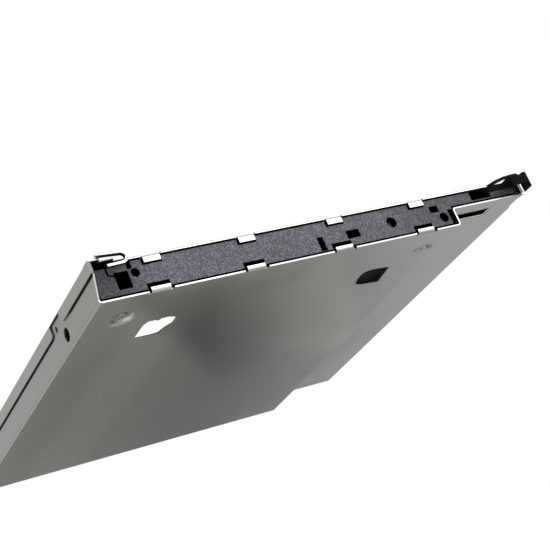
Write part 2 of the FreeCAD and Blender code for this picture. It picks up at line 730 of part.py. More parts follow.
# Plastic bar between the sheets: holes and grooves in its face, cells behind it, screw lugs
def make_front_bar():
    bar = new_body("front_bar")
    left = bar_left
    lower_right = bar_lower_right
    wing_right = pan_right - s.return_width - s.bar_side_gap
    section = [
        (left, s.sheet + s.bend_radius),
        (left + s.bend_radius, s.sheet),
        (lower_right, s.sheet),
        (lower_right, shelf_top),
        (wing_right, shelf_top),
        (wing_right, catch_split),
        (cover_end, catch_split),
        (cover_end, cover_under),
        (left, cover_under),
    ]
    pad(bar, "bar_section", "XZ_Plane", s.bar_front, s.bar_depth, section)

    # Hollow cells behind the front wall
    cell_depth = s.bar_depth - s.bar_skin
    cell_left = left + s.rib_thickness
    cell_pitch = (lower_right - cell_left) / s.cell_count
    cell = box_corners(cell_left, cell_left + cell_pitch - s.rib_thickness,
                       s.sheet + s.bar_margin, cover_under - s.bar_margin)
    first_cell = pocket(bar, "bar_cell", "XZ_Plane", s.bar_front + s.bar_skin, cell_depth + 1, cell)
    repeat(bar, first_cell, "bar_cells", cell_pitch, s.cell_count)
    wing_cell = box_corners(lower_width + 2, cover_end - 1.5,
                            shelf_top + s.bar_margin, cover_under - s.bar_margin)
    pocket(bar, "wing_cell", "XZ_Plane", s.bar_front + s.bar_skin, cell_depth + 1, wing_cell)

    # Room for the pan's louvre
    room = box_corners(louvre_left - 0.3, louvre_left + louvre_width + 0.3,
                       s.louvre_front - s.sheet - 0.3, bar_rear + 1)
    pocket(bar, "louvre_room", "XY_Plane", shelf_top - 1, s.louvre_rise + 1.3, room)

    # Screw lugs that stand on the dishes
    for name, across, back in (
        ("left_lug", s.left_dish_across, s.left_dish_back),
        ("right_lug", right_dish_across, s.right_dish_back),
    ):
        round_end = [
            (across - s.lug_radius, bar_rear - 1),
            (across + s.lug_radius, bar_rear - 1),
            (across + s.lug_radius, back, (across, back), 1),
            (across - s.lug_radius, back),
        ]
        pad(bar, name, "XY_Plane", dish_top, s.lug_height, round_end)
        drill(bar, name + "_hole", "XY_Plane", dish_top - 1, s.lug_height + 2,
              (across, back, s.screw_radius + s.screw_fit))

    # Holes in the front face, from left to right
    face = s.bar_front - 1
    deep = s.hole_reach + 1
    slot_left = lower_width * 0.585
    square_left = lower_width * 0.6693
    openings = [
        ("latch_window", as_size(6.3), as_size(9.0), 2.5, 6.1),
        ("tall_slot", slot_left, slot_left + 1.85, 1.2, 4.55),
        ("square_hole", square_left, square_left + 4.0, 2.95, 5.2),
        ("small_square_hole", lower_width - 7.1, lower_width - 4.25, 5.1, 7.0),
    ]
    for name, start, end, low, high in openings:
        pocket(bar, name, "XZ_Plane", face, deep, box_corners(start, end, low, high))
    rounds = [(11.35, 5.85, 1.15), (lower_width - 19.85, 4.95, 1.5), (lower_width - 3.65, 3.3, 1.4)]
    drill(bar, "round_holes", "XZ_Plane", face, deep, *rounds)

    # Shallow recesses: hook groove, spring pocket, corner notch, slot cap and the wing's pocket
    high = cover_under
    hook = [(4.4, high - 0.7), (4.95, high - 0.7), (4.95, 6.6), (6.3, 6.1), (6.3, 5.55), (4.4, 6.25)]
    pocket(bar, "hook_groove", "XZ_Plane", face, 1.8, hook)
    pocket(bar, "spring_pocket", "XZ_Plane", face, 2.6, box_corners(left + 0.2, 5.4, high - 0.95, high + 0.1))
    pocket(bar, "corner_notch", "XZ_Plane", face, 2.2, box_corners(9.9, 10.7, 7.0, high - 0.4))
    slot_cap = box_corners(slot_left, slot_left + 1.85, 4.45, 5.0)
    pocket(bar, "slot_cap", "XZ_Plane", face, 1.4, slot_cap)
    wing_pocket = box_corners(cover_end - 6.4, cover_end + 0.3, shelf_top + 1.1, high - 0.3)
    pocket(bar, "wing_pocket", "XZ_Plane", face, 2.8, wing_pocket)

    # Recesses round the tabs of the pan and the cover
    recess_left = s.lower_tab_start - 0.45
    recess = box_corners(recess_left, recess_left + s.tab_width + 0.9, s.sheet - 0.2, s.lower_tab_rise + 1.3)
    first_recess = pocket(bar, "tab_recess", "XZ_Plane", face, 1.9, recess)
    repeat(bar, first_recess, "tab_recesses", tab_pitch, s.tab_count)
    recess_left = s.upper_tab_start - 0.5
    recess = box_corners(recess_left, recess_left + s.upper_tab_width + 0.85,
                         high - s.upper_tab_drop - 0.35, high + 0.1)
    first_recess = pocket(bar, "cover_tab_recess", "XZ_Plane", face, 1.9, recess)
    repeat(bar, first_recess, "cover_tab_recesses", tab_pitch, s.tab_count)

    # Rebates along the face's edges
    rebates = [
        ("lower_rebate", left + 0.5, lower_right - 0.2, s.sheet - 0.1, s.sheet + 0.35),
        ("shelf_rebate", lower_width, wing_right - 0.2, shelf_top - 0.1, shelf_top + 0.3),
        ("upper_rebate", left + 0.2, cover_end - 0.2, cover_under - 0.3, cover_under + 0.1),
        ("left_rebate", left - 0.1, left + 0.2, s.sheet + 1, cover_under - 1),
    ]
    for name, start, end, low, top in rebates:
        pocket(bar, name, "XZ_Plane", face, 1.8, box_corners(start, end, low, top))
    return bar


# Catch at the right end: a block on the bar, a curved arm, a front wall and a cheek
def make_side_catch():
    catch = new_body("side_catch")
    right = pan_right - s.sheet - s.bar_side_gap
    front = -s.catch_reach
    roof_left = pan_right - s.catch_roof_width
    block = box_corners(catch_left, right, catch_split, s.case_height)
    pad(catch, "catch_block", "XZ_Plane", s.bar_front, s.bar_depth, block)
    roof_low = s.case_height - s.catch_roof
    panel_low = s.case_height - s.catch_height
    arm_reach = roof_left - catch_left
    arm_thick = s.catch_panel - 0.15
    arm_right = roof_left + 0.2
    arm = [
        (catch_left, s.bar_front + 0.5),
        (catch_left, 0),
        (catch_left + arm_reach * 0.25, front * 0.55),
        (catch_left + arm_reach * 0.6, front * 0.88),
        (arm_right, front),
        (arm_right, front + arm_thick),
        (catch_left + arm_reach * 0.63, front * 0.88 + arm_thick),
        (catch_left + arm_reach * 0.33, front * 0.55 + arm_thick),
        (catch_left + arm_thick, 0.1),
        (catch_left + arm_thick, s.bar_front + 0.5),
    ]
    pad(catch, "catch_arm", "XY_Plane", roof_low, s.catch_roof, arm)
    roof = box_corners(roof_left, pan_right, front, -0.05)
    pad(catch, "catch_roof", "XY_Plane", roof_low, s.catch_roof, roof)
    joint = box_corners(roof_left, right, -0.5, s.bar_front + 0.5)
    pad(catch, "catch_neck", "XY_Plane", roof_low, s.catch_roof, joint)
    wall = box_corners(roof_left, pan_right, panel_low, s.case_height)
    pad(catch, "catch_front_wall", "XZ_Plane", front, s.catch_panel, wall)
    cheek = [
        (front, s.case_height),
        (front, s.shelf_height + 0.3),
        (-0.9, s.shelf_height + 0.3),
        (-0.9, s.case_height),
    ]
    pad(catch, "catch_cheek", "YZ_Plane", pan_right - s.catch_cheek, s.catch_cheek, cheek)

    # Shallow dip across the top, where a finger finds the catch
    dip = [
        (roof_left + 1.9, s.case_height + 0.1),
        (roof_left + 2.4, s.case_height - 0.45),
        (roof_left + 3.2, s.case_height - 0.45),
        (roof_left + 4.2, s.case_height + 0.1),
    ]
    pocket(catch, "catch_dip", "XZ_Plane", front - 0.5, 2.5, dip)
    return catch


# Folded rail on the right of the drive bay
def make_bay_rail():
    rail = new_body("bay_rail")
    web_left = bay_right
    web_right = bay_right + s.rail_sheet
    section = [
        (web_left, s.sheet),
        (web_right + s.rail_foot, s.sheet),
        (web_right + s.rail_foot, s.sheet + s.rail_sheet),
        (web_right, s.sheet + s.rail_sheet),
        (web_right, cover_under - s.rail_sheet),
        (web_right + s.rail_lip, cover_under - s.rail_sheet),
        (web_right + s.rail_lip, cover_under),
        (web_left, cover_under),
    ]
    pad(rail, "rail_section", "XZ_Plane", s.bay_front, drive_rear - s.bay_front, section)
    window_low = s.sheet + s.rail_sheet + 1
    window_start = s.bay_front + 8
    window = box_corners(window_start, window_start + s.rail_window, window_low, cover_under - 2)
    first_window = pocket(rail, "rail_window", "YZ_Plane", web_left - 0.5, s.rail_sheet + 1, window)
    repeat(rail, first_window, "rail_windows", s.rail_window_pitch, s.rail_window_count, "Y_Axis")
    return rail


def board_screw_places():
    """The three board screws, from left to right."""
    return [s.first_board_screw, second_board_screw, third_board_screw]


# Adapter board, its insulating sheet, standoffs, screws and capacitors
def make_circuit_board():
    board = new_body("circuit_board")
    shape = box_corners(s.board_left, board_right, board_front, board_rear)
    pad(board, "board_plate", "XY_Plane", board_under, s.board_thick, shape)
    holes = [(across, board_screw_back, s.screw_radius + 0.2) for across in board_screw_places()]
    drill(board, "board_holes", "XY_Plane", board_under - 1, s.board_thick + 2, *holes)
    return board


def make_insulator_sheet():
    film = new_body("insulator_sheet")
    shape = box_corners(s.board_left - 1.5, board_right + 0.6, board_front, board_rear - 0.3)
    pad(film, "film_plate", "XY_Plane", s.sheet, s.insulator_thick, shape)
    holes = [(across, board_screw_back, s.standoff_radius + 0.3) for across in board_screw_places()]
    drill(film, "film_holes", "XY_Plane", s.sheet - 1, s.insulator_thick + 2, *holes)
    return film


def make_board_standoffs():
    posts = []
    for number, across in enumerate(board_screw_places(), start=1):
        body = hexagon("standoff_%d" % number, across, board_screw_back, s.sheet, board_under, s.standoff_radius)
        hole = cylinder("standoff_bore_%d" % number, across, board_screw_back,
                        s.sheet + 0.3, board_under + 1, s.screw_radius + s.screw_fit)
        posts.append(take_away("standoff_cut_%d" % number, body, hole))
    return group("board_standoffs", posts)


def make_board_screws():
    screws = []
    for number, across in enumerate(board_screw_places(), start=1):
        head_high = board_top + s.screw_head_height + 0.3
        shank = cylinder("board_shank_%d" % number, across, board_screw_back,
                         s.sheet + 0.4, board_top + 0.1, s.screw_radius)
        head = cylinder("board_head_%d" % number, across, board_screw_back,
                        board_top, head_high, s.screw_head_radius + 0.3)
        screws.append(fuse("board_screw_%d" % number, shank, head))
    return group("board_screws", screws)


def make_capacitors():
    """Small block capacitors in a row on the board."""
    row = new_body("capacitors")
    start = plug_left + 4.0
    block = box_corners(start, start + 1.3, board_front + 1.0, board_front + 3.1)
    first = pad(row, "capacitor", "XY_Plane", board_top, 1.1, block)
    repeat(row, first, "capacitor_row", as_size(2.4), as_size(4))
    return row


# Socket for the drive, on the front edge of the board
def socket_levels():
    """Underside and top of the socket's nose, and the underside of its slots."""
    middle = s.sheet + 3.5
    nose_low = middle - s.socket_height / 2
    return nose_low, nose_low + s.socket_height, middle - s.socket_slot / 2


def slot_starts():
    """Left ends of the signal and power slots."""
    signal = s.socket_left + s.slot_wall
    return signal, signal + s.signal_slot + s.slot_bridge


def pin_starts():
    """Left sides of the first signal and power contacts, centred in their slots."""
    signal, power = slot_starts()
    signal_row = s.pin_pitch * (s.signal_pins - 1) + s.pin_width
    power_row = s.pin_pitch * (s.power_pins - 1) + s.pin_width
    return signal + (s.signal_slot - signal_row) / 2, power + (s.power_slot - power_row) / 2


def contact_profile(front, wall_front, wall_rear, level, tail):
    """Side view of a bent contact: along a slot, through the back wall and down to the board."""
    return [
        (front, level),
        (wall_rear, level),
        (wall_rear, board_top),
        (tail, board_top),
        (tail, board_top + s.pin_thick),
        (wall_rear + s.pin_thick, board_top + s.pin_thick),
        (wall_rear + s.pin_thick, level + s.pin_thick),
        (front, level + s.pin_thick),
    ]


def make_drive_socket():
    socket = new_body("drive_socket")
    nose_low, nose_high, slot_low = socket_levels()
    nose_front = drive_rear - s.socket_reach
    body_front = board_front
    body_rear = body_front + s.socket_body
    side = [
        (nose_front, nose_low),
        (body_front, nose_low),
        (body_front, board_top),
        (body_rear, board_top),
        (body_rear, nose_high),
        (nose_front, nose_high),
    ]
    pad(socket, "socket_block", "YZ_Plane", s.socket_left, s.socket_width, side)
    signal, power = slot_starts()
    slots = [
        box_corners(signal, signal + s.signal_slot, slot_low, slot_low + s.socket_slot),
        box_corners(power, power + s.power_slot, slot_low, slot_low + s.socket_slot),
    ]
    slot_depth = s.socket_reach + s.board_front_gap + s.socket_body - 1
    pocket(socket, "socket_slots", "XZ_Plane", nose_front - 1, slot_depth + 1, *slots)
    contact_level = slot_low + s.socket_slot - s.pin_thick
    for name, start, count in (
        ("signal_channel", pin_starts()[0], s.signal_pins),
        ("power_channel", pin_starts()[1], s.power_pins),
    ):
        channel = box_corners(start, start + s.pin_width, contact_level, contact_level + s.pin_thick)
        first = pocket(socket, name, "XZ_Plane", body_rear - 2, 3, channel)
        repeat(socket, first, name + "s", s.pin_pitch, count)
    return socket


def make_socket_contacts(name, start, count):
    contacts = new_body(name)
    slot_low = socket_levels()[2]
    level = slot_low + s.socket_slot - s.pin_thick
    body_rear = board_front + s.socket_body
    side = contact_profile(drive_rear - s.socket_reach + 0.5, body_rear - 2, body_rear, level, body_rear + 1.2)
    first = pad(contacts, name + "_first", "YZ_Plane", start, s.pin_width, side)
    repeat(contacts, first, name + "_row", s.pin_pitch, count)
    return contacts


# Plug at the rear that mates with the laptop
def plug_levels():
    """Front and rear of the plug and the underside and top of its tongue."""
    rear = s.case_depth
    tongue_low = board_top + (s.plug_height - s.tongue_thick) / 2
    return rear - s.plug_depth, rear, tongue_low, tongue_low + s.tongue_thick


def tongue_starts():
    """Left ends of the short and the long part of the tongue."""
    inner_left = plug_left + s.plug_wall + 1.2
    signal_length = s.plug_pitch * s.plug_signal_pins + 0.6
    return inner_left, inner_left + signal_length + s.key_gap


def make_rear_plug():
    plug = new_body("rear_plug")
    front, rear, tongue_low, tongue_high = plug_levels()
    shell = box_corners(plug_left, plug_left + s.plug_width, board_top, board_top + s.plug_height)
    pad(plug, "plug_shell", "XZ_Plane", front, s.plug_depth, shell)
    cavity = box_corners(plug_left + s.plug_wall, plug_left + s.plug_width - s.plug_wall,
                         board_top + s.plug_wall, board_top + s.plug_height - s.plug_wall)
    cavity_front = front + s.plug_wall + 0.6
    pocket(plug, "plug_cavity", "XZ_Plane", cavity_front, s.plug_depth, cavity)
    signal, power = tongue_starts()
    tongues = [
        box_corners(signal, signal + s.plug_pitch * s.plug_signal_pins + 0.6, tongue_low, tongue_high),
        box_corners(power, power + s.plug_pitch * s.plug_power_pins + 0.6, tongue_low, tongue_high),
    ]
    pad(plug, "plug_tongues", "XZ_Plane", cavity_front - 0.3, rear - cavity_front - 0.5, *tongues)
    for name, start, count in (
        ("plug_signal_channel", signal, s.plug_signal_pins),
        ("plug_power_channel", power, s.plug_power_pins),
    ):
        pin_left = start + (s.plug_pitch + 0.6 - s.plug_pin_width) / 2
        channel = box_corners(pin_left, pin_left + s.plug_pin_width, tongue_high, tongue_high + s.pin_thick)
        first = pocket(plug, name, "XZ_Plane", front - 1, s.plug_wall + 2, channel)
        repeat(plug, first, name + "s", s.plug_pitch, count)
    return plug


def make_plug_contacts(name, start, count):
    contacts = new_body(name)
    front, rear, tongue_low, tongue_high = plug_levels()
    side = [
        (front - 1.1, board_top),
        (front, board_top),
        (front, tongue_high),
        (rear - 1.3, tongue_high),
        (rear - 1.3, tongue_high + s.pin_thick),
        (front - s.pin_thick, tongue_high + s.pin_thick),
        (front - s.pin_thick, board_top + s.pin_thick),
        (front - 1.1, board_top + s.pin_thick),
    ]
    pin_left = start + (s.plug_pitch + 0.6 - s.plug_pin_width) / 2
    first = pad(contacts, name + "_first", "YZ_Plane", pin_left, s.plug_pin_width, side)
    repeat(contacts, first, name + "_row", s.plug_pitch, count)
    return contacts


# Screws that hold the bar, from below
def make_bar_screws():
    screws = []
    for number, (across, back) in enumerate((
        (s.left_dish_across, s.left_dish_back),
        (right_dish_across, s.right_dish_back),
    ), start=1):
        shank = cylinder("bar_shank_%d" % number, across, back,
                         s.dish_depth - 0.1, dish_top + s.lug_height - 0.1, s.screw_radius)
        head = cylinder("bar_head_%d" % number, across, back,
                        s.dish_depth - s.screw_head_height, s.dish_depth, s.screw_head_radius)
        screws.append(fuse("bar_screw_%d" % number, shank, head))
    return group("bar_screws", screws)


# Posts and screws that hold the cover
def make_cover_posts():
    posts = []
    for number, (across, back, low) in enumerate(cover_screw_places(), start=1):
        body = hexagon("post_%d" % number, across, back, low, cover_under, s.post_radius)
        hole = cylinder("post_bore_%d" % number, across, back,
                        low + 0.3, cover_under + 1, s.screw_radius + s.screw_fit)
        posts.append(take_away("post_cut_%d" % number, body, hole))
    return group("cover_posts", posts)


def make_cover_screws():
    screws = []
    for number, (across, back, low) in enumerate(cover_screw_places(), start=1):
        shank = cylinder("cover_shank_%d" % number, across, back,
                         shelf_top + s.cover_screw_stop, cover_under + 0.1, s.screw_radius)
        head = cone("cover_head_%d" % number, across, back, cover_under, s.case_height,
                    s.screw_radius + 0.3 - s.seat_gap, s.cover_head_radius - s.seat_gap)
        screws.append(fuse("cover_screw_%d" % number, shank, head))
    return group("cover_screws", screws)


signal_start, power_start = pin_starts()
plug_signal_start, plug_power_start = tongue_starts()
SUBPARTS = [
    make_bottom_pan(),
    make_top_cover(),
    make_front_bar(),
    make_side_catch(),
    make_bay_rail(),
    make_circuit_board(),
    make_insulator_sheet(),
    make_board_standoffs(),
    make_board_screws(),
    make_capacitors(),
    make_drive_socket(),
    make_socket_contacts("socket_signal_contacts", signal_start, s.signal_pins),
    make_socket_contacts("socket_power_contacts", power_start, s.power_pins),
    make_rear_plug(),
    make_plug_contacts("plug_signal_contacts", plug_signal_start, s.plug_signal_pins),
    make_plug_contacts("plug_power_contacts", plug_power_start, s.plug_power_pins),
    make_bar_screws(),
    make_cover_posts(),
    make_cover_screws(),
]
document.recompute()


# Every object has to be sound, and every cut has to remove something
for item in document.Objects:
    if "Invalid" in item.State or "Error" in item.State:
        raise RuntimeError("%s failed: %s" % (item.Name, item.State))
    if item.TypeId in ("PartDesign::Pocket", "PartDesign::Groove"):
        if item.Shape.Volume > item.BaseFeature.Shape.Volume - 1e-6:
            raise RuntimeError("%s removes nothing" % item.Name)

os.makedirs("parts", exist_ok=True)
for subpart in SUBPARTS:
    shape = subpart.Shape
    if shape.isNull() or not shape.isValid():
        raise RuntimeError("%s has no valid shape" % subpart.Label)
    shape.exportStep("parts/%s.step" % subpart.Label)
    box = shape.BoundBox
    print("%-24s %2d solids  volume %9.2f  x %.2f to %.2f  y %.2f to %.2f  z %.2f to %.2f" % (
        subpart.Label, len(shape.Solids), shape.Volume,
        box.XMin, box.XMax, box.YMin, box.YMax, box.ZMin, box.ZMax))
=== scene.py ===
"""Looks of the laptop drive caddy: the finishes of its parts, its cross-headed screws and its studio."""

import math

import bpy
import numpy as np
from bpy.props import FloatProperty, FloatVectorProperty, IntProperty, PointerProperty
from mathutils import Matrix, Vector


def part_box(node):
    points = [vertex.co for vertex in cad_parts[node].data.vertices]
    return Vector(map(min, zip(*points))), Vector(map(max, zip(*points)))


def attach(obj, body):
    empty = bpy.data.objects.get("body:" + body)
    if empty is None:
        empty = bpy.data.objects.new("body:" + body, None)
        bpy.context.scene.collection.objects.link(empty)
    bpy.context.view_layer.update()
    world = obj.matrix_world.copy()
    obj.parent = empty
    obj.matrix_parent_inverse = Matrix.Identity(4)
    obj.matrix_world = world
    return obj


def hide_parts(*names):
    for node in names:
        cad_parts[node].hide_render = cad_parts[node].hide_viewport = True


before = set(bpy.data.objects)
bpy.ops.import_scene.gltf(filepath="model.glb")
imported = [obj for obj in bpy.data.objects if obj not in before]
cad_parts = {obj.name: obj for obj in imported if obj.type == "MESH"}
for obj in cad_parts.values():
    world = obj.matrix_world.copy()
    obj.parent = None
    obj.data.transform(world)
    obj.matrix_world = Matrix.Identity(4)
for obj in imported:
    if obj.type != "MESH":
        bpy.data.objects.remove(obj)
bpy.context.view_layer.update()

bl_info = {
    "name": "Laptop drive caddy",
    "version": (1, 0, 0),
    "blender": (4, 5, 0),
    "location": "View3D > Sidebar > Drive caddy",
    "description": "Dresses the folded steel drive caddy and sets its studio",
    "category": "Object",
}

MM = 0.001
TURN = 2 * math.pi

# Places on the case in millimetres from its lower left front corner, where the finishes and the painted
# light and shade change. A pair is a range, over which a mask holds or fades, unless its comment says what
# else it is.
# Pan
FLOOR_TOP = 0.42
SHELF_LEFT = 103
SHELF_EDGE = (4.75, 5.25)
EDGE_SHADE_GROWS = (28, 55)
FLANGE_HEIGHT = (6.1, 6.6)
FOLD_LEFT = 124
FOLD_LOW = 5.3
FOLD_LINES = ((125.25, 125.4), (126.8, 126.95), (127.4, 127.55))
PAINTED_LIGHT_ZONE = (14, 32)
PAINTED_SHADE_ZONE = (42, 60)
PAINTED_SHADE_ENDS = (10, 20)
RIGHT_RIM = (127.05, 127.3)
RIM_NOTCH_ACROSS = (126.5, 128)
RIM_NOTCH_ALONG = (7.0, 8.4)
LEFT_DISH = (9.4, 11.6)         # a point
LEFT_ARC = (6.6, 9.6)           # squares of two radii
LEFT_ARC_ENDS = (-1.6, -0.6)    # forward of the dish's centre
LEFT_GLINT = (9.6, 12.4)        # a point
GLINT_RING = (5.3, 13.0)        # squares of two radii
GLINT_SIDE = (0.36, 0.93)       # a direction
GLINT_STARTS = (0.7, 1.7)       # from the glint's centre in that direction
RIGHT_DISH = (96.67, 11.2)      # a point
RIGHT_ARC = (5.0, 9.0)          # squares of two radii
TONGUE_ACROSS = (104, 119)
TONGUE_ALONG = (3.5, 8.8)
TONGUE_HEIGHT = (4.9, 6.6)
TONGUE_DARKENS = (5.0, 6.0)
HOLES_ACROSS = (2, 101)
HOLES_FRONT = 8
HOLE_SIDE = (0.03, 0.42)
HOLE_FOOT = 0.14
HOLE_DARKENS = (0.12, 0.2)
WEAVE_DIES = (35, 62)

# Cover
FLANGE_LOW = 6.4
FRONT_FLANGE_END = 23.0
FRONT_FLANGE_CORNER = 21.8
FRONT_FLANGE_CUT = (0.707, 0.707)   # a direction
FRONT_SHADOW_BORDER = (0.5, 0.62)
FRONT_SHADOW_DIES = (15.0, 22.5)
REAR_FLANGE_START = 31.0
REAR_FLANGE_CORNER = 6.8
REAR_FLANGE_CUT = (0.316, 0.949)    # a direction
REAR_SHADOW_BORDER = (0.46, 0.58)
STRIP_ROOT = (-0.02, 6.6)
ROOT_LOW = 8.9
ROOT_TOP = (9.32, 9.4)
STRIP_LEG = (1.95, 8.4)
LEG_LOW = 9.42
STRIP_LINE = (2.2, 10.62)       # a point
STRIP_FALL = 0.069
LINE_BORDER = (-0.24, -0.14)    # from the strip's line
CURL_LEFT = 8.2
CURL_CENTRE = (8.0, 8.85)       # a point
CURL_SQUARE = 1.2               # square of a radius
PLATE_LOW = 9.0
PLATE_MIDDLE = (70, 112)
STRIP_CORNER = 14
UPPER_EDGE = 9.1
TOP_LINE = 9.3
BESIDE_STRIP = (6.4, 9.9)

# Front bar
RECESSES = ((81.8, 84.8), (98.1, 100.9))
RECESS_FLOOR = (3.05, 3.3)
RECESS_TOP = 6.5
BEHIND_FACE = (0.7, 0.95)
BAR_BACK = 5.4
FLOOR_SEAM = (1.04, 1.18)
SHELF_SEAM = (5.85, 6.0)
WALL_SEAM = (0.98, 1.12)
COVER_SEAM = (8.72, 8.86)
LATCH_NOTCH = (9.75, 10.95)
NOTCH_LOW = 7.0
LATCH_WINDOW = (6.05, 9.6)
LATCH_WINDOW_HEIGHT = (2.35, 6.7)
LIGHT_RISES = (3, 19)
LIGHT_FALLS = (78, 96)
LIGHT_FALLS_AGAIN = (108, 118)

# Screws: the grid starts a hair off the axis, and a pan head's rim has points so far inwards and down
AXIS_GAP = 0.001
CROWN_ROWS = 34
CROWN_MARGIN = 0.08
FLAT_RIM = 0.02
PAN_RIM = ((0.02, 0.03), (0.0, 0.1))

# Colours that no setting holds
LAMINATE = (0.34, 0.3, 0.16, 1.0)
TURNED_STEEL = (0.5, 0.5, 0.47, 1.0)
CERAMIC = (0.42, 0.3, 0.17)
BLACK_FILM = (0.03, 0.03, 0.03)
ROOM_IN_CARD = (0.72, 0.72, 0.7, 1.0)

# Studio in metres. Each lamp has its name, place, size and radiance, and whether reflections show it
LIT_POINT = (0.06, 0.04, 0.005)
LAMPS = (
    ("front_lamp", (0.38, -0.5, 0.26), (0.5, 0.35), 2.2, True),
    ("near_lamp", (-0.13, -0.29, -0.11), (0.25, 0.25), 7.0, False),
    ("top_lamp", (-0.3, -0.1, 0.7), (0.7, 0.7), 1.1, True),
    ("low_lamp", (-0.35, -0.2, -0.5), (0.5, 0.5), 0.8, True),
)
# The floor's half width and level, and the outlines and levels of the cards under the case
FLOOR_HALF = 3.0
FLOOR_LEVEL = -0.0002
DARK_CARD = ((0.02, 0.09), (0.17, 0.09), (0.23, 0.42), (0.02, 0.42))
DARK_CARD_LEVEL = -0.06
NEAR_CARD = ((0.0125, 0.01), (0.07, 0.01), (0.125, 0.091), (0.0675, 0.091))
NEAR_CARD_LEVEL = -0.01


# Shader maths
class Wire:
    """An output socket of a node. Arithmetic on wires adds the Math nodes that work it out."""

    def __init__(self, tree, socket):
        self.tree = tree
        self.socket = socket

    def maths(self, operation, *others):
        """Add a Math node whose first value is this wire."""
        values = dict(enumerate((self,) + others))
        return self.tree.node("ShaderNodeMath", {"operation": operation}, values)

    def __add__(self, other):
        return self.maths("ADD", other)

    __radd__ = __add__

    def __sub__(self, other):
        return self.maths("SUBTRACT", other)

    def __rsub__(self, other):
        return self.tree.node("ShaderNodeMath", {"operation": "SUBTRACT"}, {0: other, 1: self})

    def __neg__(self):
        return 0 - self

    def __mul__(self, other):
        return self.maths("MULTIPLY", other)

    __rmul__ = __mul__

    def __lt__(self, other):
        return self.maths("LESS_THAN", other)

    def __gt__(self, other):
        return self.maths("GREATER_THAN", other)

    def most(self, other):
        """The larger of two values."""
        return self.maths("MAXIMUM", other)

    def sine(self):
        """The sine of an angle in radians."""
        return self.maths("SINE")

    def step(self, low, high):
        """0 below low, 1 above high and a smooth rise between them."""
        values = {"Value": self, "From Min": low, "From Max": high}
        return self.tree.node("ShaderNodeMapRange", {"interpolation_type": "SMOOTHSTEP"}, values)


class Tree:
    """The emptied node tree of a material or a world."""

    def __init__(self, owner):
        owner.use_nodes = True
        self.nodes = owner.node_tree.nodes
        self.links = owner.node_tree.links
        self.nodes.clear()

    def node(self, kind, settings=None, inputs=None, output=0):
        """Add a node, its settings first, then each socket's value or wire, and give one output's wire."""
        made = self.nodes.new(kind)
        for name, value in (settings or {}).items():
            setattr(made, name, value)
        for name, value in (inputs or {}).items():
            if isinstance(value, Wire):
                self.links.new(value.socket, made.inputs[name])
            else:
                made.inputs[name].default_value = value
        return Wire(self, made.outputs[output]) if made.outputs else None


class Finish(Tree):
    """The node tree of one material."""

    def __init__(self, name):
        self.material = bpy.data.materials.new(name)
        super().__init__(self.material)
        self.place = self.node("ShaderNodeTexCoord", output="Object")
        self.normal = self.node("ShaderNodeNewGeometry", output="Normal")

    def axes(self, vector):
        """The three parts of a vector wire."""
        first = self.node("ShaderNodeSeparateXYZ", {}, {0: vector})
        return [Wire(self, socket) for socket in first.socket.node.outputs]

    def places(self):
        """The three object coordinates in millimetres."""
        return [part * (1 / MM) for part in self.axes(self.place)]

    def noise(self, across, along, up, detail):
        """Noise from 0 to 1 with features of the given size in millimetres on each axis."""
        scale = [1 / (length * MM) for length in (across, along, up)]
        stretched = self.node("ShaderNodeMapping", {}, {"Vector": self.place, "Scale": scale})
        return self.node("ShaderNodeTexNoise", {}, {"Vector": stretched, "Scale": 1.0, "Detail": detail})

    def stored(self, name):
        """A value that the mesh holds at each point."""
        return self.node("ShaderNodeAttribute", {"attribute_name": name}, {}, output="Fac")

    def blend(self, factor, low, high):
        """A colour between two others."""
        values = {"Factor": factor, 6: low, 7: high}
        return self.node("ShaderNodeMix", {"data_type": "RGBA"}, values, output=2)

    def shaded(self, colour, amount):
        """A colour made lighter or darker by a factor."""
        grey = self.node("ShaderNodeCombineXYZ", {}, {0: amount, 1: amount, 2: amount})
        values = {"Factor": 1.0, 6: colour, 7: grey}
        return self.node("ShaderNodeMix", {"data_type": "RGBA", "blend_type": "MULTIPLY"}, values, output=2)

    def bumped(self, height, depth, normal=None):
        """A normal that follows a height from 0 to 1, whose full depth is in millimetres."""
        values = {"Height": height, "Distance": depth * MM, "Strength": 1.0}
        if normal is not None:
            values["Normal"] = normal
        return self.node("ShaderNodeBump", {}, values)

    def soft_edges(self, radius):
        """A normal rounded over sharp edges by a radius in millimetres."""
        return self.node("ShaderNodeBevel", {"samples": 4}, {"Radius": radius * MM})

    def end(self, shader):
        """Make a shader the material's surface."""
        self.node("ShaderNodeOutputMaterial", {}, {"Surface": shader})
        return self.material

    def surface(self, values):
        """End the tree in one Principled shader."""
        return self.end(self.node("ShaderNodeBsdfPrincipled", {}, values))


def opaque(colour):
    """A colour with full alpha."""
    return tuple(colour)[:3] + (1.0,)


def dress(node, material):
    """Give a CAD node its finish."""
    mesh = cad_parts[node].data
    mesh.materials.clear()
    mesh.materials.append(material)


# Meshes from grids
def grid_faces(rows, columns):
    """Quads between neighbouring rows and columns, where the last column joins the first."""
    row, column = np.meshgrid(np.arange(rows - 1), np.arange(columns), indexing="ij")
    following = (column + 1) % columns
    corners = [row * columns + column, row * columns + following]
    corners += [(row + 1) * columns + following, (row + 1) * columns + column]
    return np.stack(corners, axis=-1).reshape(-1, 4)


def mesh_piece(name, points, faces, material, recess):
    """A new object at the origin from arrays of points, faces and the share of a recess at each point."""
    mesh = bpy.data.meshes.new(name)
    mesh.from_pydata(points.tolist(), [], faces.tolist())
    mesh.update()
    mesh.materials.append(material)
    mesh.polygons.foreach_set("use_smooth", np.ones(len(mesh.polygons), dtype=bool))
    mesh.attributes.new("recess", "FLOAT", "POINT").data.foreach_set("value", recess)
    piece = bpy.data.objects.new(name, mesh)
    bpy.context.scene.collection.objects.link(piece)
    return piece


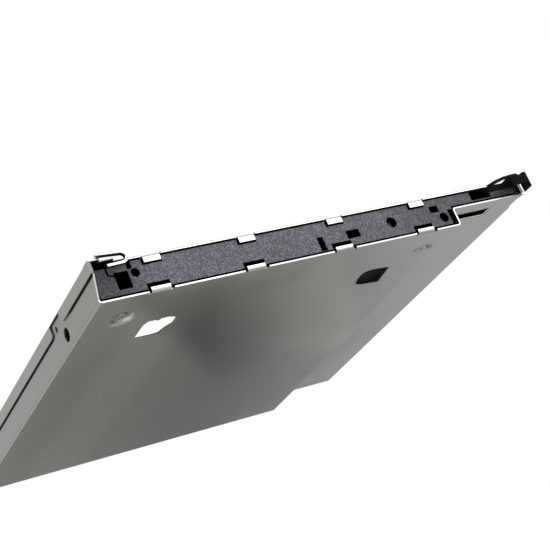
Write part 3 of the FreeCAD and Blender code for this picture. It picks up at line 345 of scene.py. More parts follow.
def screw_grid(profile, recess_radius, recess_width, recess_depth, columns):
    """Points of a screw with a cross recess, and how far each is sunk, from 0 to 1.

    The profile of radius and height is carried round the axis on a polar grid. Inside the recess radius the
    surface sinks by the recess depth where the point lies in one of the two crossing slots, each as wide as
    the recess width, and the sink fades over a tenth of a millimetre towards the slot's walls.
    """
    radius = profile[:, 0][:, None]
    height = profile[:, 1][:, None]
    on_head = profile[:, 2][:, None]
    angle = np.linspace(0, TURN, columns, endpoint=False)[None, :]
    across = radius * np.cos(angle)
    along = radius * np.sin(angle)
    soft = 0.1
    in_slot = np.maximum(
        np.clip((recess_width / 2 - np.abs(across)) / soft + 0.5, 0, 1),
        np.clip((recess_width / 2 - np.abs(along)) / soft + 0.5, 0, 1),
    )
    in_reach = np.clip((recess_radius - radius) / soft + 0.5, 0, 1)
    share = in_slot * in_reach * on_head
    return np.stack([across, along, height - recess_depth * share], axis=-1), share


def screw_profile(head_radius, head_height, dome, shank_radius, shank_length, flat):
    """Rows of radius, height and a head mark from the crown's centre down to the shank's tip.

    The crown falls from the centre to the rim as a parabola by the dome's height. A flat head narrows in a
    straight line from its rim to the shank, and any other head has an upright rim with a small round.
    """
    crown = np.linspace(AXIS_GAP, head_radius - CROWN_MARGIN, CROWN_ROWS)
    rows = [(r, head_height - dome * (r / head_radius) ** 2, 1.0) for r in crown]
    rim = head_height - dome
    if flat:
        rows += [(head_radius, rim - FLAT_RIM, 0.0)]
    else:
        rows += [(head_radius - inwards, rim - down, 0.0) for inwards, down in PAN_RIM]
        rows += [(head_radius, 0.0, 0.0)]
    shank = ((shank_radius, 0.0), (shank_radius, -shank_length), (AXIS_GAP, -shank_length))
    rows += [(r, height, 0.0) for r, height in shank]
    return np.array(rows)


def screws(name, places, profile, turns, settings, material, replaced):
    """One piece that holds a screw at each place (x, y, z, up or down) and stands for a CAD node.

    Each screw is the same grid, turned about its axis by its own angle, mirrored where it points down, and
    moved to its place.
    """
    columns = settings.columns
    recess = (settings.recess_radius, settings.recess_width, settings.recess_depth)
    local, share = screw_grid(profile, *recess, columns)
    quads = grid_faces(len(profile), columns)
    points = []
    faces = []
    for number, (x, y, z, up) in enumerate(places):
        turn = turns[number % len(turns)]
        spin = np.array([[math.cos(turn), -math.sin(turn)], [math.sin(turn), math.cos(turn)]])
        screw = local.reshape(-1, 3).copy()
        screw[:, :2] = screw[:, :2] @ spin.T
        screw[:, 2] *= up
        points.append((screw + np.array([x, y, z])) * MM)
        faces.append((quads if up < 0 else quads[:, ::-1]) + number * len(screw))
    sunk = np.tile(share.ravel(), len(places))
    piece = mesh_piece(name, np.concatenate(points), np.concatenate(faces), material, sunk)
    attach(piece, "root")
    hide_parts(replaced)
    return piece


# Settings that a user would change
class SheetSteelSettings(bpy.types.PropertyGroup):
    """Finish of the folded sheets."""

    colour: FloatVectorProperty(
        name="Coating", description="Colour of the zinc-coated sheet", subtype="COLOR", size=4,
        default=(0.3, 0.304, 0.283, 1.0), min=0, max=1)
    edge_colour: FloatVectorProperty(
        name="Cut edge", description="Colour of the bare steel at the cut front edges",
        subtype="COLOR", size=4, default=(0.64, 0.64, 0.625, 1.0), min=0, max=1)
    roughness: FloatProperty(
        name="Roughness", description="Roughness of the coating", default=0.36, min=0, max=1)
    grain_pitch: FloatProperty(
        name="Weave pitch", description="Pitch of the lines of the fine rolled-in weave in millimetres",
        default=1.31, min=0.1, max=5)
    grain_depth: FloatProperty(
        name="Weave depth", description="Depth of the weave in millimetres",
        default=0.003, min=0, max=0.1)
    edge_round: FloatProperty(
        name="Edge rounding", description="Rounding of cut edges in millimetres",
        default=0.08, min=0, max=0.5)


class FrontPlasticSettings(bpy.types.PropertyGroup):
    """Finish of the moulded bar and the catch."""

    bar_colour: FloatVectorProperty(
        name="Bar", description="Colour of the textured bar", subtype="COLOR", size=4,
        default=(0.087, 0.087, 0.105, 1.0), min=0, max=1)
    catch_colour: FloatVectorProperty(
        name="Catch", description="Colour of the smooth catch", subtype="COLOR", size=4,
        default=(0.006, 0.006, 0.0065, 1.0), min=0, max=1)
    grain_size: FloatProperty(
        name="Grain size", description="Size of the moulded grain in millimetres",
        default=0.42, min=0.05, max=2)
    grain_depth: FloatProperty(
        name="Grain depth", description="Depth of the moulded grain in millimetres",
        default=0.05, min=0, max=0.3)


class ScrewSettings(bpy.types.PropertyGroup):
    """Shape of the cross recess and finish of the screws."""

    colour: FloatVectorProperty(
        name="Plating", description="Colour of the plated screws", subtype="COLOR", size=4,
        default=(0.3, 0.3, 0.285, 1.0), min=0, max=1)
    recess_radius: FloatProperty(
        name="Recess reach", description="How far the cross reaches from the centre in millimetres",
        default=0.78, min=0.2, max=2)
    recess_width: FloatProperty(
        name="Slot width", description="Width of each slot of the cross in millimetres",
        default=0.36, min=0.1, max=1)
    recess_depth: FloatProperty(
        name="Recess depth", description="Depth of the cross in millimetres", default=0.34, min=0.05, max=1)
    columns: IntProperty(
        name="Columns", description="Steps round each screw", default=72, min=16, max=256)


class BoardSettings(bpy.types.PropertyGroup):
    """Finish of the board, its parts and its connectors."""

    mask_colour: FloatVectorProperty(
        name="Solder mask", description="Colour of the board", subtype="COLOR", size=4,
        default=(0.012, 0.11, 0.045, 1.0), min=0, max=1)
    track_pitch: FloatProperty(
        name="Track pitch", description="Pitch of the board's tracks in millimetres",
        default=1.27, min=0.2, max=5)
    connector_colour: FloatVectorProperty(
        name="Connectors", description="Colour of the moulded connectors", subtype="COLOR", size=4,
        default=(0.028, 0.028, 0.03, 1.0), min=0, max=1)
    contact_colour: FloatVectorProperty(
        name="Contacts", description="Colour of the gold-plated contacts", subtype="COLOR", size=4,
        default=(0.86, 0.6, 0.25, 1.0), min=0, max=1)


class StageSettings(bpy.types.PropertyGroup):
    """Camera, floor and light."""

    lens: FloatProperty(
        name="Lens", description="Focal length in millimetres on a 36 mm sensor",
        default=89.25, min=10, max=500)
    camera_place: FloatVectorProperty(
        name="Camera", description="Place of the camera in metres", subtype="XYZ", size=3, precision=5,
        default=(-0.11782, -0.25888, -0.10339))
    camera_forward: FloatVectorProperty(
        name="Looks along", description="Direction in which the camera looks", subtype="DIRECTION", size=3,
        default=(0.50513, 0.80402, 0.31376))
    camera_up: FloatVectorProperty(
        name="Up", description="Direction of the picture's upper side", subtype="DIRECTION", size=3,
        default=(0.1875, -0.4569, 0.8695))
    floor_colour: FloatVectorProperty(
        name="Floor", description="Colour of the floor", subtype="COLOR", size=4,
        default=(0.86, 0.86, 0.86, 1.0), min=0, max=1)
    daylight: FloatProperty(
        name="Room light", description="Strength of the soft light from all round",
        default=0.55, min=0, max=5)


# Masks and tones
def between(value, low, high, soft=0.04):
    """Mask of the values from low to high, with borders that fade by soft to either side."""
    return value.step(low - soft, low + soft) * (1.0 - value.step(high - soft, high + soft))


def square_reach(x, y, centre):
    """Square of the distance from a centre."""
    across = x - centre[0]
    along = y - centre[1]
    return across * across + along * along


def toned(tone, *changes):
    """The tone after each mask has made it paler or darker: times 1 + mask * change for each."""
    for mask, change in changes:
        tone = tone * (1.0 + mask * change)
    return tone


def rolled_weave(x, y, facing, pitch):
    """Height of the weave, about 0.5: a sine across the sheet plus a weaker one across its diagonal.

    Both have the same pitch. They are on flat faces only, where the square of the normal's upward part is
    near 1.
    """
    lines = (x * (TURN / pitch)).sine()
    diagonal = ((x - y) * (TURN / pitch)).sine()
    flat = (facing[2] * facing[2]).step(0.8, 0.97)
    return (lines * 0.23 + diagonal * 0.16) * flat + 0.5


def flange_shadow_line(x, y, z):
    """Mask of the painted shadow line under the cover's two flanges on the left wall.

    The flanges lie on the wall with no gap. The distance outside a flange is the largest of its distances
    below the lower edge, beyond the end and beyond the cut corner. The shadow is painted dark where that
    distance lies between nothing and the line's width.
    The front flange's line dies out towards its rear end, and each line stays on its own side of the gap
    between the flanges.
    """
    low = FLANGE_LOW - z
    before = REAR_FLANGE_START - y
    cut = before * REAR_FLANGE_CUT[0] + (REAR_FLANGE_CORNER - z) * REAR_FLANGE_CUT[1]
    rear = low.most(before).most(cut)
    rear_line = (rear > -0.02) * (1.0 - rear.step(*REAR_SHADOW_BORDER))
    cut = (y - FRONT_FLANGE_CORNER) * FRONT_FLANGE_CUT[0] + low * FRONT_FLANGE_CUT[1]
    front = low.most(y - FRONT_FLANGE_END).most(cut)
    fade = 1.0 - y.step(*FRONT_SHADOW_DIES)
    front_line = (front > -0.02) * (1.0 - front.step(*FRONT_SHADOW_BORDER)) * fade
    on_wall = x < 0.05
    # Painted shadow lines, each kept on its own side of the gap between the flanges
    return (front_line * (y < 24) + rear_line * (y > 27)) * on_wall


def hairpin_shade(x, y, z):
    """Mask of the unlit front edges at the hairpin strip.

    The dark parts are the strip's root and the lip beside it but for their uppermost line, the strip's
    upper leg below its own upper line, which falls in a straight line from the step to the curl, and the
    inner part of the curl's upper quarter, where the square of the distance from its centre is small.
    """
    root = between(x, *STRIP_ROOT) * (1.0 - z.step(*ROOT_TOP)) * (z > ROOT_LOW)
    upper_line = STRIP_LINE[1] - (x - STRIP_LINE[0]) * STRIP_FALL
    leg = between(x, *STRIP_LEG) * (z > LEG_LOW) * (1.0 - (z - upper_line).step(*LINE_BORDER))
    in_curl = square_reach(x, z, CURL_CENTRE) < CURL_SQUARE
    curl = (x > CURL_LEFT) * (z > CURL_CENTRE[1]) * in_curl
    return root.most(leg).most(curl) * (y < -0.5)


def pan_coating(tone, x, y, z, facing):
    """Tone of the pan's coating with painted light and shade, and how metallic it is.

    The bottom has a zone of painted light and a zone of painted shade. The left wall, the right bottom rim
    with its notch, and the front parts of the dish rims are painted darker as shade, and the left dish's
    rear rim has a painted highlight, a light crescent. The louvre's tongue is painted paler and made plain
    so that it takes light, and painted darker upwards as shade. The sides of the holes in the floor have a
    painted highlight at their lowest line and painted shade above it. The arcs are rings between two
    squares of the distance from a centre, each cut off by a line.
    """
    down = (-facing[2]).step(0.4, 0.7)
    # Painted light and painted shade on the bottom
    painted_light_zone = between(x, *PAINTED_LIGHT_ZONE, soft=5.0)
    painted_shade_zone = between(x, *PAINTED_SHADE_ZONE, soft=4.0) * (1.0 - y.step(*PAINTED_SHADE_ENDS))
    # Painted shade on faces that look left, on the right rim and its notch, and on the dish rims' front
    # arcs
    left_facing_shade = (-facing[0]).step(0.6, 0.9)
    right_rim = x.step(*RIGHT_RIM) * down
    rim_notch = between(x, *RIM_NOTCH_ACROSS) * between(y, *RIM_NOTCH_ALONG, soft=0.3)
    right_arc = between(square_reach(x, y, RIGHT_DISH), *RIGHT_ARC, soft=0.6) * (y - RIGHT_DISH[1] < 0.3)
    left_arc = between(square_reach(x, y, LEFT_DISH), *LEFT_ARC, soft=0.8)
    left_arc = left_arc * (1.0 - (y - LEFT_DISH[1]).step(*LEFT_ARC_ENDS))
    # Painted highlight, a crescent on the left dish's rear rim
    rearward = (x - LEFT_GLINT[0]) * GLINT_SIDE[0] + (y - LEFT_GLINT[1]) * GLINT_SIDE[1]
    glint = between(square_reach(x, y, LEFT_GLINT), *GLINT_RING, soft=1.2) * rearward.step(*GLINT_STARTS)
    # The tongue is painted paler, and painted darker upwards as shade
    tongue = between(z, *TONGUE_HEIGHT) * between(x, *TONGUE_ACROSS) * between(y, *TONGUE_ALONG)
    # Painted highlight at the lowest line of the holes' sides and painted shade above it
    upright = (1.0 - facing[2].step(0.3, 0.6)) * (1.0 - (-facing[2]).step(0.3, 0.6))
    hole_side = upright * between(z, *HOLE_SIDE) * (y > HOLES_FRONT) * between(x, *HOLES_ACROSS)
    tone = toned(
        tone,
        (down, painted_light_zone * 0.2 - painted_shade_zone * 0.16),
        (left_facing_shade, -0.2),
        (right_rim, -0.35),
        (rim_notch, -0.5),
        (right_arc, -0.6),
        (left_arc, -0.45),
        (glint, 0.9),
        (tongue, 1.2 - z.step(*TONGUE_DARKENS) * 1.4),
        (hole_side * z.step(*HOLE_DARKENS), -0.9),
        (hole_side, z < HOLE_FOOT),
    )
    return tone, 1.0 - tongue


def pan_edges(bright, x, y, z):
    """Tone of the pan's cut front edges, with painted shade.

    The edges of the floor and the shelf are painted a little darker to the right. The left wall's edge has
    painted shade at the height of the flange, and the fold at the right is painted nearly black as shadow
    but for three lines, which are painted lighter.
    """
    sheet_edge = (z < FLOOR_TOP).most(between(z, *SHELF_EDGE) * (x > SHELF_LEFT))
    beside_flange = (y < -0.3) * z.step(*FLANGE_HEIGHT)
    fold_face = (x > FOLD_LEFT) * (z > FOLD_LOW)
    first, second, third = (between(x, *line) for line in FOLD_LINES)
    fold_lines = first.most(second).most(third)
    # Painted shade on the cut edges; the fold's three lines stay lighter
    return toned(
        bright,
        (sheet_edge * x.step(*EDGE_SHADE_GROWS), -0.25),
        (beside_flange, -0.8),
        (fold_face, fold_lines * 0.6 - 0.97),
    )


def shade_pan(tone, bright, x, y, z, facing):
    """The pan's two tones with painted light and shade, how metallic its coating is, and the mask of its
    painted shadow line under the cover's flanges.
    """
    tone, metal = pan_coating(tone, x, y, z, facing)
    return tone, pan_edges(bright, x, y, z), metal, flange_shadow_line(x, y, z)


def shade_cover(tone, bright, x, y, z, facing):
    """The cover's two tones, how metallic its coating is, and the mask of its painted shade.

    Painted near black as shade are the front tabs' faces that look down or to the left, the plate's
    underside in the spring strip's corner, and the underside over the shelf right of the plate's middle.
    The middle's underside is painted paler and made plain, so that it takes light. Of the cut front edges,
    the flange's, the plate's uppermost line and those beside the spring strip are painted darker as shade,
    and the strip's unlit edges are painted nearly black.
    """
    down = (-facing[2]).step(0.4, 0.7)
    # Painted shade on the unlit faces
    inward = (-facing[0]).step(0.1, 0.4) * (x > 6.8)
    tabs = down.most(inward) * (y < 0.3)
    unlit = tabs.most(down * (x < STRIP_CORNER) * (z > PLATE_LOW))
    unlit = unlit.most(down * (x > PLATE_MIDDLE[1]) * (y > 9))
    # Painted light on the underside of the plate's middle
    inner = down * between(x, *PLATE_MIDDLE) * (y > 2)
    flange_edge = (x < -0.01) * (y < -2)
    upper_edge = (z > UPPER_EDGE) * (y > -0.2)
    # Painted shade on the cut front edges
    bright = toned(
        bright,
        (flange_edge, -0.75),
        (upper_edge * (z > TOP_LINE), -0.55),
        (upper_edge * between(x, *BESIDE_STRIP), -0.95),
        (hairpin_shade(x, y, z), -0.97),
    )
    return toned(tone, (inner, 1.5)), bright, 1.0 - inner, unlit


def shade_bar(x, y, z):
    """Mask of the painted shade on the front bar, and the bar's painted light along its length.

    Painted near black as shade are the insides of its holes and recesses, behind the face, but for the
    floors of two recesses, the seams along the pan's floor and shelf, the left wall and the cover, the
    latch's notch, and the latch's window with a band of the face above it. The painted light rises from the
    left end and falls in two steps towards the right end.
    """
    first, second = (between(x, *recess) for recess in RECESSES)
    floors = between(y, *RECESS_FLOOR) * (first.most(second) * (z < RECESS_TOP))
    inside = y.step(*BEHIND_FACE) * (1.0 - floors * 0.85)
    # Painted shade along the seams
    floor_seam = 1.0 - z.step(*FLOOR_SEAM)
    shelf_seam = (x > SHELF_LEFT) * (1.0 - z.step(*SHELF_SEAM))
    wall_seam = 1.0 - x.step(*WALL_SEAM)
    cover_seam = z.step(*COVER_SEAM) * 0.85
    seams = floor_seam.most(shelf_seam).most(wall_seam).most(cover_seam)
    # Painted black over the latch's notch, and over its window and a band of face above it
    notch = between(x, *LATCH_NOTCH) * (z > NOTCH_LOW)
    window = between(x, *LATCH_WINDOW) * between(z, *LATCH_WINDOW_HEIGHT)
    dark = inside.most(seams).most(notch).most(window) * (y < BAR_BACK)
    # Painted light along the bar
    light = 0.4 + x.step(*LIGHT_RISES) * 0.6
    return dark, toned(light, (x.step(*LIGHT_FALLS), -0.26), (x.step(*LIGHT_FALLS_AGAIN), -0.4))


# Finishes
def sheet_steel(name, settings, weave, shade=None):
    """Zinc-coated sheet: fine rolled weave, faint cloudy coating, and bare steel on the cut front edges.

    The weave has the given share of the tone, which dies down to the right and on faces that look up. The
    sheet's own shading paints light and shade into the tones of the coating and of the bare steel, and
    paints its unlit parts nearly black and makes them rough.
    """
    finish = Finish(name)
    x, y, z = finish.places()
    facing = finish.axes(finish.normal)
    woven = rolled_weave(x, y, facing, settings.grain_pitch)
    grain = finish.noise(0.16, 2.4, 0.5, 2.0)
    cloud = finish.noise(14, 22, 9, 2.0)
    speck = finish.noise(0.7, 0.7, 0.7, 4.0)
    depth = (1.0 - x.step(*WEAVE_DIES) * 0.85) * weave * (1.0 - facing[2].step(0.5, 0.9) * 0.7)
    tone = 0.73 + woven * depth * 0.4 + grain * 0.06 + cloud * 0.09 + speck * 0.03
    bright = 0.92 + grain * 0.12
    metal = 1.0
    unlit = 0.0
    if shade is not None:
        tone, bright, metal, unlit = shade(tone, bright, x, y, z, facing)
    cut = (-facing[1]).step(0.75, 0.9) * (y < 0.6)
    # The unlit mask paints the coating nearly black as shade
    coating = finish.shaded(opaque(settings.colour), tone * (1.0 - unlit * 0.97))
    bare = finish.shaded(opaque(settings.edge_colour), bright)
    height = woven * (0.7 * weave) + grain * 0.3
    return finish.surface({
        "Base Color": finish.blend(cut, coating, bare),
        "Metallic": metal,
        "Roughness": settings.roughness - 0.06 + cloud * 0.1 + grain * 0.05 - cut * 0.06 + unlit * 0.5,
        "Normal": finish.bumped(height, settings.grain_depth, finish.soft_edges(settings.edge_round)),
    })


def moulded_plastic(name, colour, roughness, grain_size, grain_depth, mottle, gloss=0.5, shade=None):
    """Moulded plastic: a fine eroded grain in the mould's surface, with paler worn peaks.

    A shading gives the mask of the parts painted as unlit and the painted light on the rest. The parts
    painted as unlit are nearly black, and they are metallic and rough, so that no sheen lies on them.
    """
    finish = Finish(name)
    grain = finish.noise(grain_size, grain_size, grain_size, 3.0)
    cloud = finish.noise(7, 7, 7, 2.0)
    blotch = finish.noise(1.9, 1.9, 1.9, 3.0)
    peaks = grain.step(0.42, 0.68)
    tone = 1.0 - mottle * 0.5 + peaks * mottle + cloud * 0.2 - 0.1
    tone = tone * (1.0 - mottle * 0.35 + blotch * (mottle * 0.7))
    rough = roughness + cloud * 0.1 - 0.05
    dark = 0.0
    if shade is not None:
        # Painted shade on the unlit parts and painted light on the rest
        dark, light = shade(*finish.places())
        tone = tone * (1.0 - dark * 0.99) * light
        rough = rough + dark * 0.35
    return finish.surface({
        "Base Color": finish.shaded(opaque(colour), tone),
        "Metallic": dark,
        "Roughness": rough,
        "Specular IOR Level": gloss,
        "Normal": finish.bumped(grain, grain_depth, finish.soft_edges(0.1)),
    })


def plated_metal(name, colour, roughness, recessed=False):
    """Plated metal: fine turning marks and small tarnish clouds, and painted shade in a screw's recess."""
    finish = Finish(name)
    marks = finish.noise(0.9, 0.9, 0.05, 2.0)
    cloud = finish.noise(1.6, 1.6, 1.6, 3.0)
    tone = 0.86 + cloud * 0.24
    if recessed:
        # Painted shade in the screw's cross recess
        tone = toned(tone, (finish.stored("recess").step(0.1, 0.6), -0.93))
    return finish.surface({
        "Base Color": finish.shaded(opaque(colour), tone),
        "Metallic": 1.0,
        "Roughness": roughness + cloud * 0.12,
        "Normal": finish.bumped(marks, 0.004, finish.soft_edges(0.04)),
    })


def board_mask(name, settings):
    """Green solder mask with slightly raised tracks, and bare laminate at the board's edges.

    The tracks are the crests of a sine across the board, whose place a smooth noise bends by up to three
    millimetres.
    """
    finish = Finish(name)
    x = finish.axes(finish.place)[0]
    up = finish.axes(finish.normal)[2]
    pitch = settings.track_pitch * MM
    bend = finish.noise(9, 3.2, 9, 0.0)
    track = ((x + bend * (3 * MM)) * (TURN / pitch)).sine().step(0.25, 0.6)
    flat = up.step(0.5, 0.9) + (-up).step(0.5, 0.9)
    fibre = finish.noise(0.5, 0.5, 0.12, 2.0)
    mask = finish.shaded(opaque(settings.mask_colour), 0.8 + track * 0.7)
    core = finish.shaded(LAMINATE, 0.7 + fibre * 0.6)
    return finish.surface({
        "Base Color": finish.blend(flat, core, mask),
        "Roughness": 0.62 - flat * 0.34,
        "Normal": finish.bumped(track, 0.03),
    })


class CADDY_OT_folded_sheets(bpy.types.Operator):
    """Finish the pan, the cover and the bay rail"""

    bl_idname = "caddy.folded_sheets"
    bl_label = "Folded sheets"

    def execute(self, context):
        settings = context.scene.caddy_steel
        dress("bottom_pan", sheet_steel("pan_steel", settings, weave=1.0, shade=shade_pan))
        dress("top_cover", sheet_steel("cover_steel", settings, weave=0.45, shade=shade_cover))
        dress("bay_rail", sheet_steel("rail_steel", settings, weave=0.3))
        return {"FINISHED"}


class CADDY_OT_front_bar(bpy.types.Operator):
    """Finish the moulded front bar"""

    bl_idname = "caddy.front_bar"
    bl_label = "Front bar"

    def execute(self, context):
        settings = context.scene.caddy_plastic
        dress("front_bar", moulded_plastic(
            "bar_plastic", settings.bar_colour, roughness=0.55, grain_size=settings.grain_size,
            grain_depth=settings.grain_depth, mottle=0.95, gloss=0.35, shade=shade_bar))
        return {"FINISHED"}


class CADDY_OT_side_catch(bpy.types.Operator):
    """Finish the smooth side catch"""

    bl_idname = "caddy.side_catch"
    bl_label = "Side catch"

    def execute(self, context):
        settings = context.scene.caddy_plastic
        dress("side_catch", moulded_plastic(
            "catch_plastic", settings.catch_colour, roughness=0.65, grain_size=1.2,
            grain_depth=0.01, mottle=0.25, gloss=0.03))
        return {"FINISHED"}


class CADDY_OT_bar_screws(bpy.types.Operator):
    """Make the two pan-head screws in the dishes"""

    bl_idname = "caddy.bar_screws"
    bl_label = "Bar screws"

    def execute(self, context):
        settings = context.scene.caddy_screws
        low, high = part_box("bar_screws")
        radius = 1.45
        head = 0.45
        seat = low[2] / MM + head
        profile = screw_profile(
            radius, head, dome=0.12, shank_radius=0.8, shank_length=high[2] / MM - seat, flat=False)
        places = [(low[0] / MM + radius, high[1] / MM - radius, seat, -1),
                  (high[0] / MM - radius, low[1] / MM + radius, seat, -1)]
        turns = (0.5, 0.25)
        plating = plated_metal("dish_screw_plating", settings.colour, roughness=0.3, recessed=True)
        screws("cross_bar_screws", places, profile, turns, settings, plating, "bar_screws")
        return {"FINISHED"}


class CADDY_OT_cover_screws(bpy.types.Operator):
    """Make the flat cross screws of the cover"""

    bl_idname = "caddy.cover_screws"
    bl_label = "Cover screws"

    def execute(self, context):
        settings = context.scene.caddy_screws
        low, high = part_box("cover_screws")
        radius = 1.88
        head = 0.4
        seat = high[2] / MM - head
        profile = screw_profile(
            radius, head, dome=0.02, shank_radius=0.8, shank_length=seat - low[2] / MM, flat=True)
        left, front = (low[axis] / MM + radius for axis in (0, 1))
        right, rear = (high[axis] / MM - radius for axis in (0, 1))
        places = [(x, y, seat, 1) for x in (left, right) for y in (front, rear)]
        turns = (0.3, 1.1, 0.7, 0.1)
        plating = plated_metal("cover_screw_plating", settings.colour, roughness=0.28, recessed=True)
        screws("cross_cover_screws", places, profile, turns, settings, plating, "cover_screws")
        return {"FINISHED"}


class CADDY_OT_board_fasteners(bpy.types.Operator):
    """Finish the board's screws, its standoffs and the cover's posts"""

    bl_idname = "caddy.board_fasteners"
    bl_label = "Posts and board screws"

    def execute(self, context):
        settings = context.scene.caddy_screws
        turned = plated_metal("turned_steel", TURNED_STEEL, roughness=0.32)
        for node in ("board_standoffs", "cover_posts"):
            dress(node, turned)
        dress("board_screws", plated_metal("board_screw_plating", settings.colour, roughness=0.3))
        return {"FINISHED"}


class CADDY_OT_circuit_board(bpy.types.Operator):
    """Finish the board, its capacitors and the film under it"""

    bl_idname = "caddy.circuit_board"
    bl_label = "Circuit board"

    def execute(self, context):
        settings = context.scene.caddy_board
        dress("circuit_board", board_mask("board_laminate", settings))
        dress("capacitors", moulded_plastic(
            "capacitor_body", CERAMIC, roughness=0.5, grain_size=0.3, grain_depth=0.01, mottle=0.2))
        dress("insulator_sheet", moulded_plastic(
            "insulator_film", BLACK_FILM, roughness=0.35, grain_size=2.0, grain_depth=0.005, mottle=0.2))
        return {"FINISHED"}


class CADDY_OT_connectors(bpy.types.Operator):
    """Finish the drive socket, the rear plug and their contacts"""

    bl_idname = "caddy.connectors"
    bl_label = "Connectors"

    def execute(self, context):
        settings = context.scene.caddy_board
        moulding = moulded_plastic(
            "connector_plastic", settings.connector_colour, roughness=0.42, grain_size=0.5,
            grain_depth=0.008, mottle=0.3)
        gold = plated_metal("contact_gold", settings.contact_colour, roughness=0.22)
        for node in ("drive_socket", "rear_plug"):
            dress(node, moulding)
        for node in ("socket_signal_contacts", "socket_power_contacts",
                     "plug_signal_contacts", "plug_power_contacts"):
            dress(node, gold)
        return {"FINISHED"}


# Studio
def lamp(name, place, size, strength, reflected):
    """A soft lamp that shines at the caddy. Its strength is its radiance, where 1 is white."""
    light = bpy.data.lights.new(name, "AREA")
    light.shape = "RECTANGLE"
    light.size, light.size_y = size
    light.energy = strength * math.pi * size[0] * size[1]
    holder = bpy.data.objects.new(name, light)
    towards = (Vector(LIT_POINT) - Vector(place)).normalized().to_track_quat("-Z", "Y")
    holder.matrix_world = Matrix.Translation(Vector(place)) @ towards.to_matrix().to_4x4()
    holder.visible_glossy = reflected
    bpy.context.scene.collection.objects.link(holder)


def level_sheet(name, outline, level, material, unseen_by):
    """A flat level sheet from its outline seen from above, left out for the named kinds of ray."""
    mesh = bpy.data.meshes.new(name)
    mesh.from_pydata([(x, y, level) for x, y in outline], [], [tuple(range(len(outline)))])
    mesh.materials.append(material)
    sheet = bpy.data.objects.new(name, mesh)
    bpy.context.scene.collection.objects.link(sheet)
    for ray in unseen_by:
        setattr(sheet, "visible_" + ray, False)
    return sheet


def near_card_shade(finish, colour):
    """Colour of the near card, which pales to the right of a slanted line and, less, towards its front."""
    x, y, _ = finish.places()
    start_x, start_y, slant = 23, 25, 0.677
    across, along = 58, 30
    rightward = (x - start_x - (y - start_y) * slant).step(0, across)
    frontward = (start_y + along - y).step(0, along) * 0.24
    return finish.blend(rightward.most(frontward), colour, ROOM_IN_CARD)


def card(name, outline, level, colour, shade=None):
    """A dark stage card under the case, which only reflections see."""
    finish = Finish(name)
    colour = opaque(colour)
    if shade is not None:
        colour = shade(finish, colour)
    material = finish.end(finish.node("ShaderNodeEmission", {}, {"Color": colour, "Strength": 1.0}))
    sheet = level_sheet(name, outline, level, material, ("camera", "diffuse", "shadow", "transmission"))


def stage_floor(colour):
    """A wide pale floor that is seen from above only; from below it lets the camera through."""
    finish = Finish("studio_floor")
    grain = finish.noise(40, 40, 40, 2.0)
    pale = finish.shaded(opaque(colour), 0.99 + grain * 0.02)
    matte = finish.node("ShaderNodeBsdfDiffuse", {}, {"Color": pale})
    clear = finish.node("ShaderNodeBsdfTransparent")
    back = finish.node("ShaderNodeNewGeometry", output="Backfacing")
    material = finish.end(finish.node("ShaderNodeMixShader", {}, {"Fac": back, 1: matte, 2: clear}))
    outline = [(x * FLOOR_HALF, y * FLOOR_HALF) for x, y in ((-1, -1), (1, -1), (1, 1), (-1, 1))]
    unseen_by = ("diffuse", "glossy", "transmission", "shadow")
    floor = level_sheet("studio_floor", outline, FLOOR_LEVEL, material, unseen_by)


def stage_world(strength):
    """A white room for the camera, reflections and glass, and a softer one for plain light."""
    world = bpy.data.worlds.new("studio_room")
    tree = Tree(world)
    rays = ("Is Camera Ray", "Is Glossy Ray", "Is Transmission Ray")
    camera, glossy, clear = (tree.node("ShaderNodeLightPath", output=ray) for ray in rays)
    shown = camera.most(glossy).most(clear)
    level = tree.node("ShaderNodeMapRange", {}, {"Value": shown, "To Min": strength, "To Max": 1.0})
    sky = tree.node("ShaderNodeBackground", {}, {"Color": (1.0, 1.0, 1.0, 1.0), "Strength": level})
    tree.node("ShaderNodeOutputWorld", {}, {"Surface": sky})
    bpy.context.scene.world = world


def stage_camera(settings):
    """The camera at the photograph's place. Its axes, right, up and back, come from cross products."""
    camera = bpy.data.cameras.new("photo_camera")
    camera.lens = settings.lens
    camera.sensor_width = 36
    camera.clip_start = 0.01
    camera.clip_end = 20
    holder = bpy.data.objects.new("photo_camera", camera)
    forward = Vector(settings.camera_forward).normalized()
    right = forward.cross(Vector(settings.camera_up)).normalized()
    up = right.cross(forward)
    turned = Matrix((right, up, -forward)).transposed().to_4x4()
    holder.matrix_world = Matrix.Translation(Vector(settings.camera_place)) @ turned
    bpy.context.scene.collection.objects.link(holder)
    bpy.context.scene.camera = holder


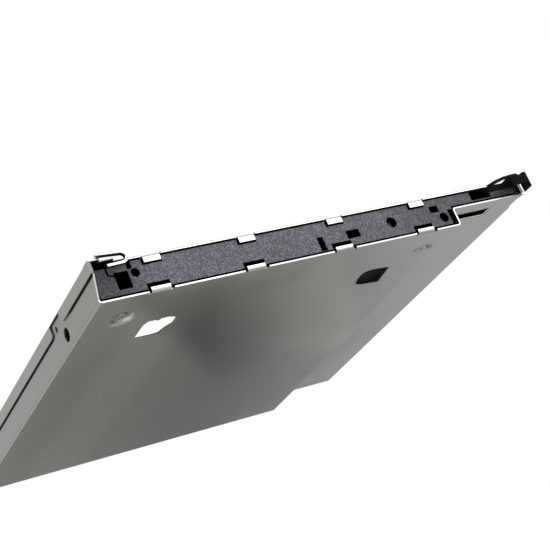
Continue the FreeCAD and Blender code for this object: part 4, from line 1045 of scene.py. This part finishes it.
class CADDY_OT_stage(bpy.types.Operator):
    """Set the camera, the floor, the lamps and the room"""

    bl_idname = "caddy.stage"
    bl_label = "Stage"

    def execute(self, context):
        settings = context.scene.caddy_stage
        context.scene.view_settings.view_transform = "Standard"
        stage_camera(settings)
        stage_world(settings.daylight)
        stage_floor(settings.floor_colour)
        for values in LAMPS:
            lamp(*values)
        card("dark_card", DARK_CARD, DARK_CARD_LEVEL, (0.25, 0.25, 0.24))
        card("near_card", NEAR_CARD, NEAR_CARD_LEVEL, (0.085, 0.085, 0.08), near_card_shade)
        return {"FINISHED"}


class CADDY_PT_sidebar(bpy.types.Panel):
    """Lists the caddy's pieces in the sidebar"""

    bl_idname = "CADDY_PT_sidebar"
    bl_label = "Drive caddy"
    bl_space_type = "VIEW_3D"
    bl_region_type = "UI"
    bl_category = "Drive caddy"

    def draw(self, context):
        for step in STEPS:
            self.layout.operator("caddy." + step)


STEPS = ("folded_sheets", "front_bar", "side_catch", "bar_screws", "cover_screws", "board_fasteners",
         "circuit_board", "connectors", "stage")

SETTINGS = {
    "caddy_steel": SheetSteelSettings,
    "caddy_plastic": FrontPlasticSettings,
    "caddy_screws": ScrewSettings,
    "caddy_board": BoardSettings,
    "caddy_stage": StageSettings,
}

CLASSES = tuple(SETTINGS.values()) + (
    CADDY_OT_folded_sheets,
    CADDY_OT_front_bar,
    CADDY_OT_side_catch,
    CADDY_OT_bar_screws,
    CADDY_OT_cover_screws,
    CADDY_OT_board_fasteners,
    CADDY_OT_circuit_board,
    CADDY_OT_connectors,
    CADDY_OT_stage,
    CADDY_PT_sidebar,
)


def register():
    """Add the classes to Blender, and each group of settings to the scene."""
    for cls in CLASSES:
        bpy.utils.register_class(cls)
    for name, group in SETTINGS.items():
        setattr(bpy.types.Scene, name, PointerProperty(type=group))


def unregister():
    """Take the settings and the classes off again."""
    for name in SETTINGS:
        delattr(bpy.types.Scene, name)
    for cls in reversed(CLASSES):
        bpy.utils.unregister_class(cls)


def main():
    """Make every piece and the stage in order."""
    register()
    for step in STEPS:
        getattr(bpy.ops.caddy, step)()


if __name__ == "__main__":
    main()
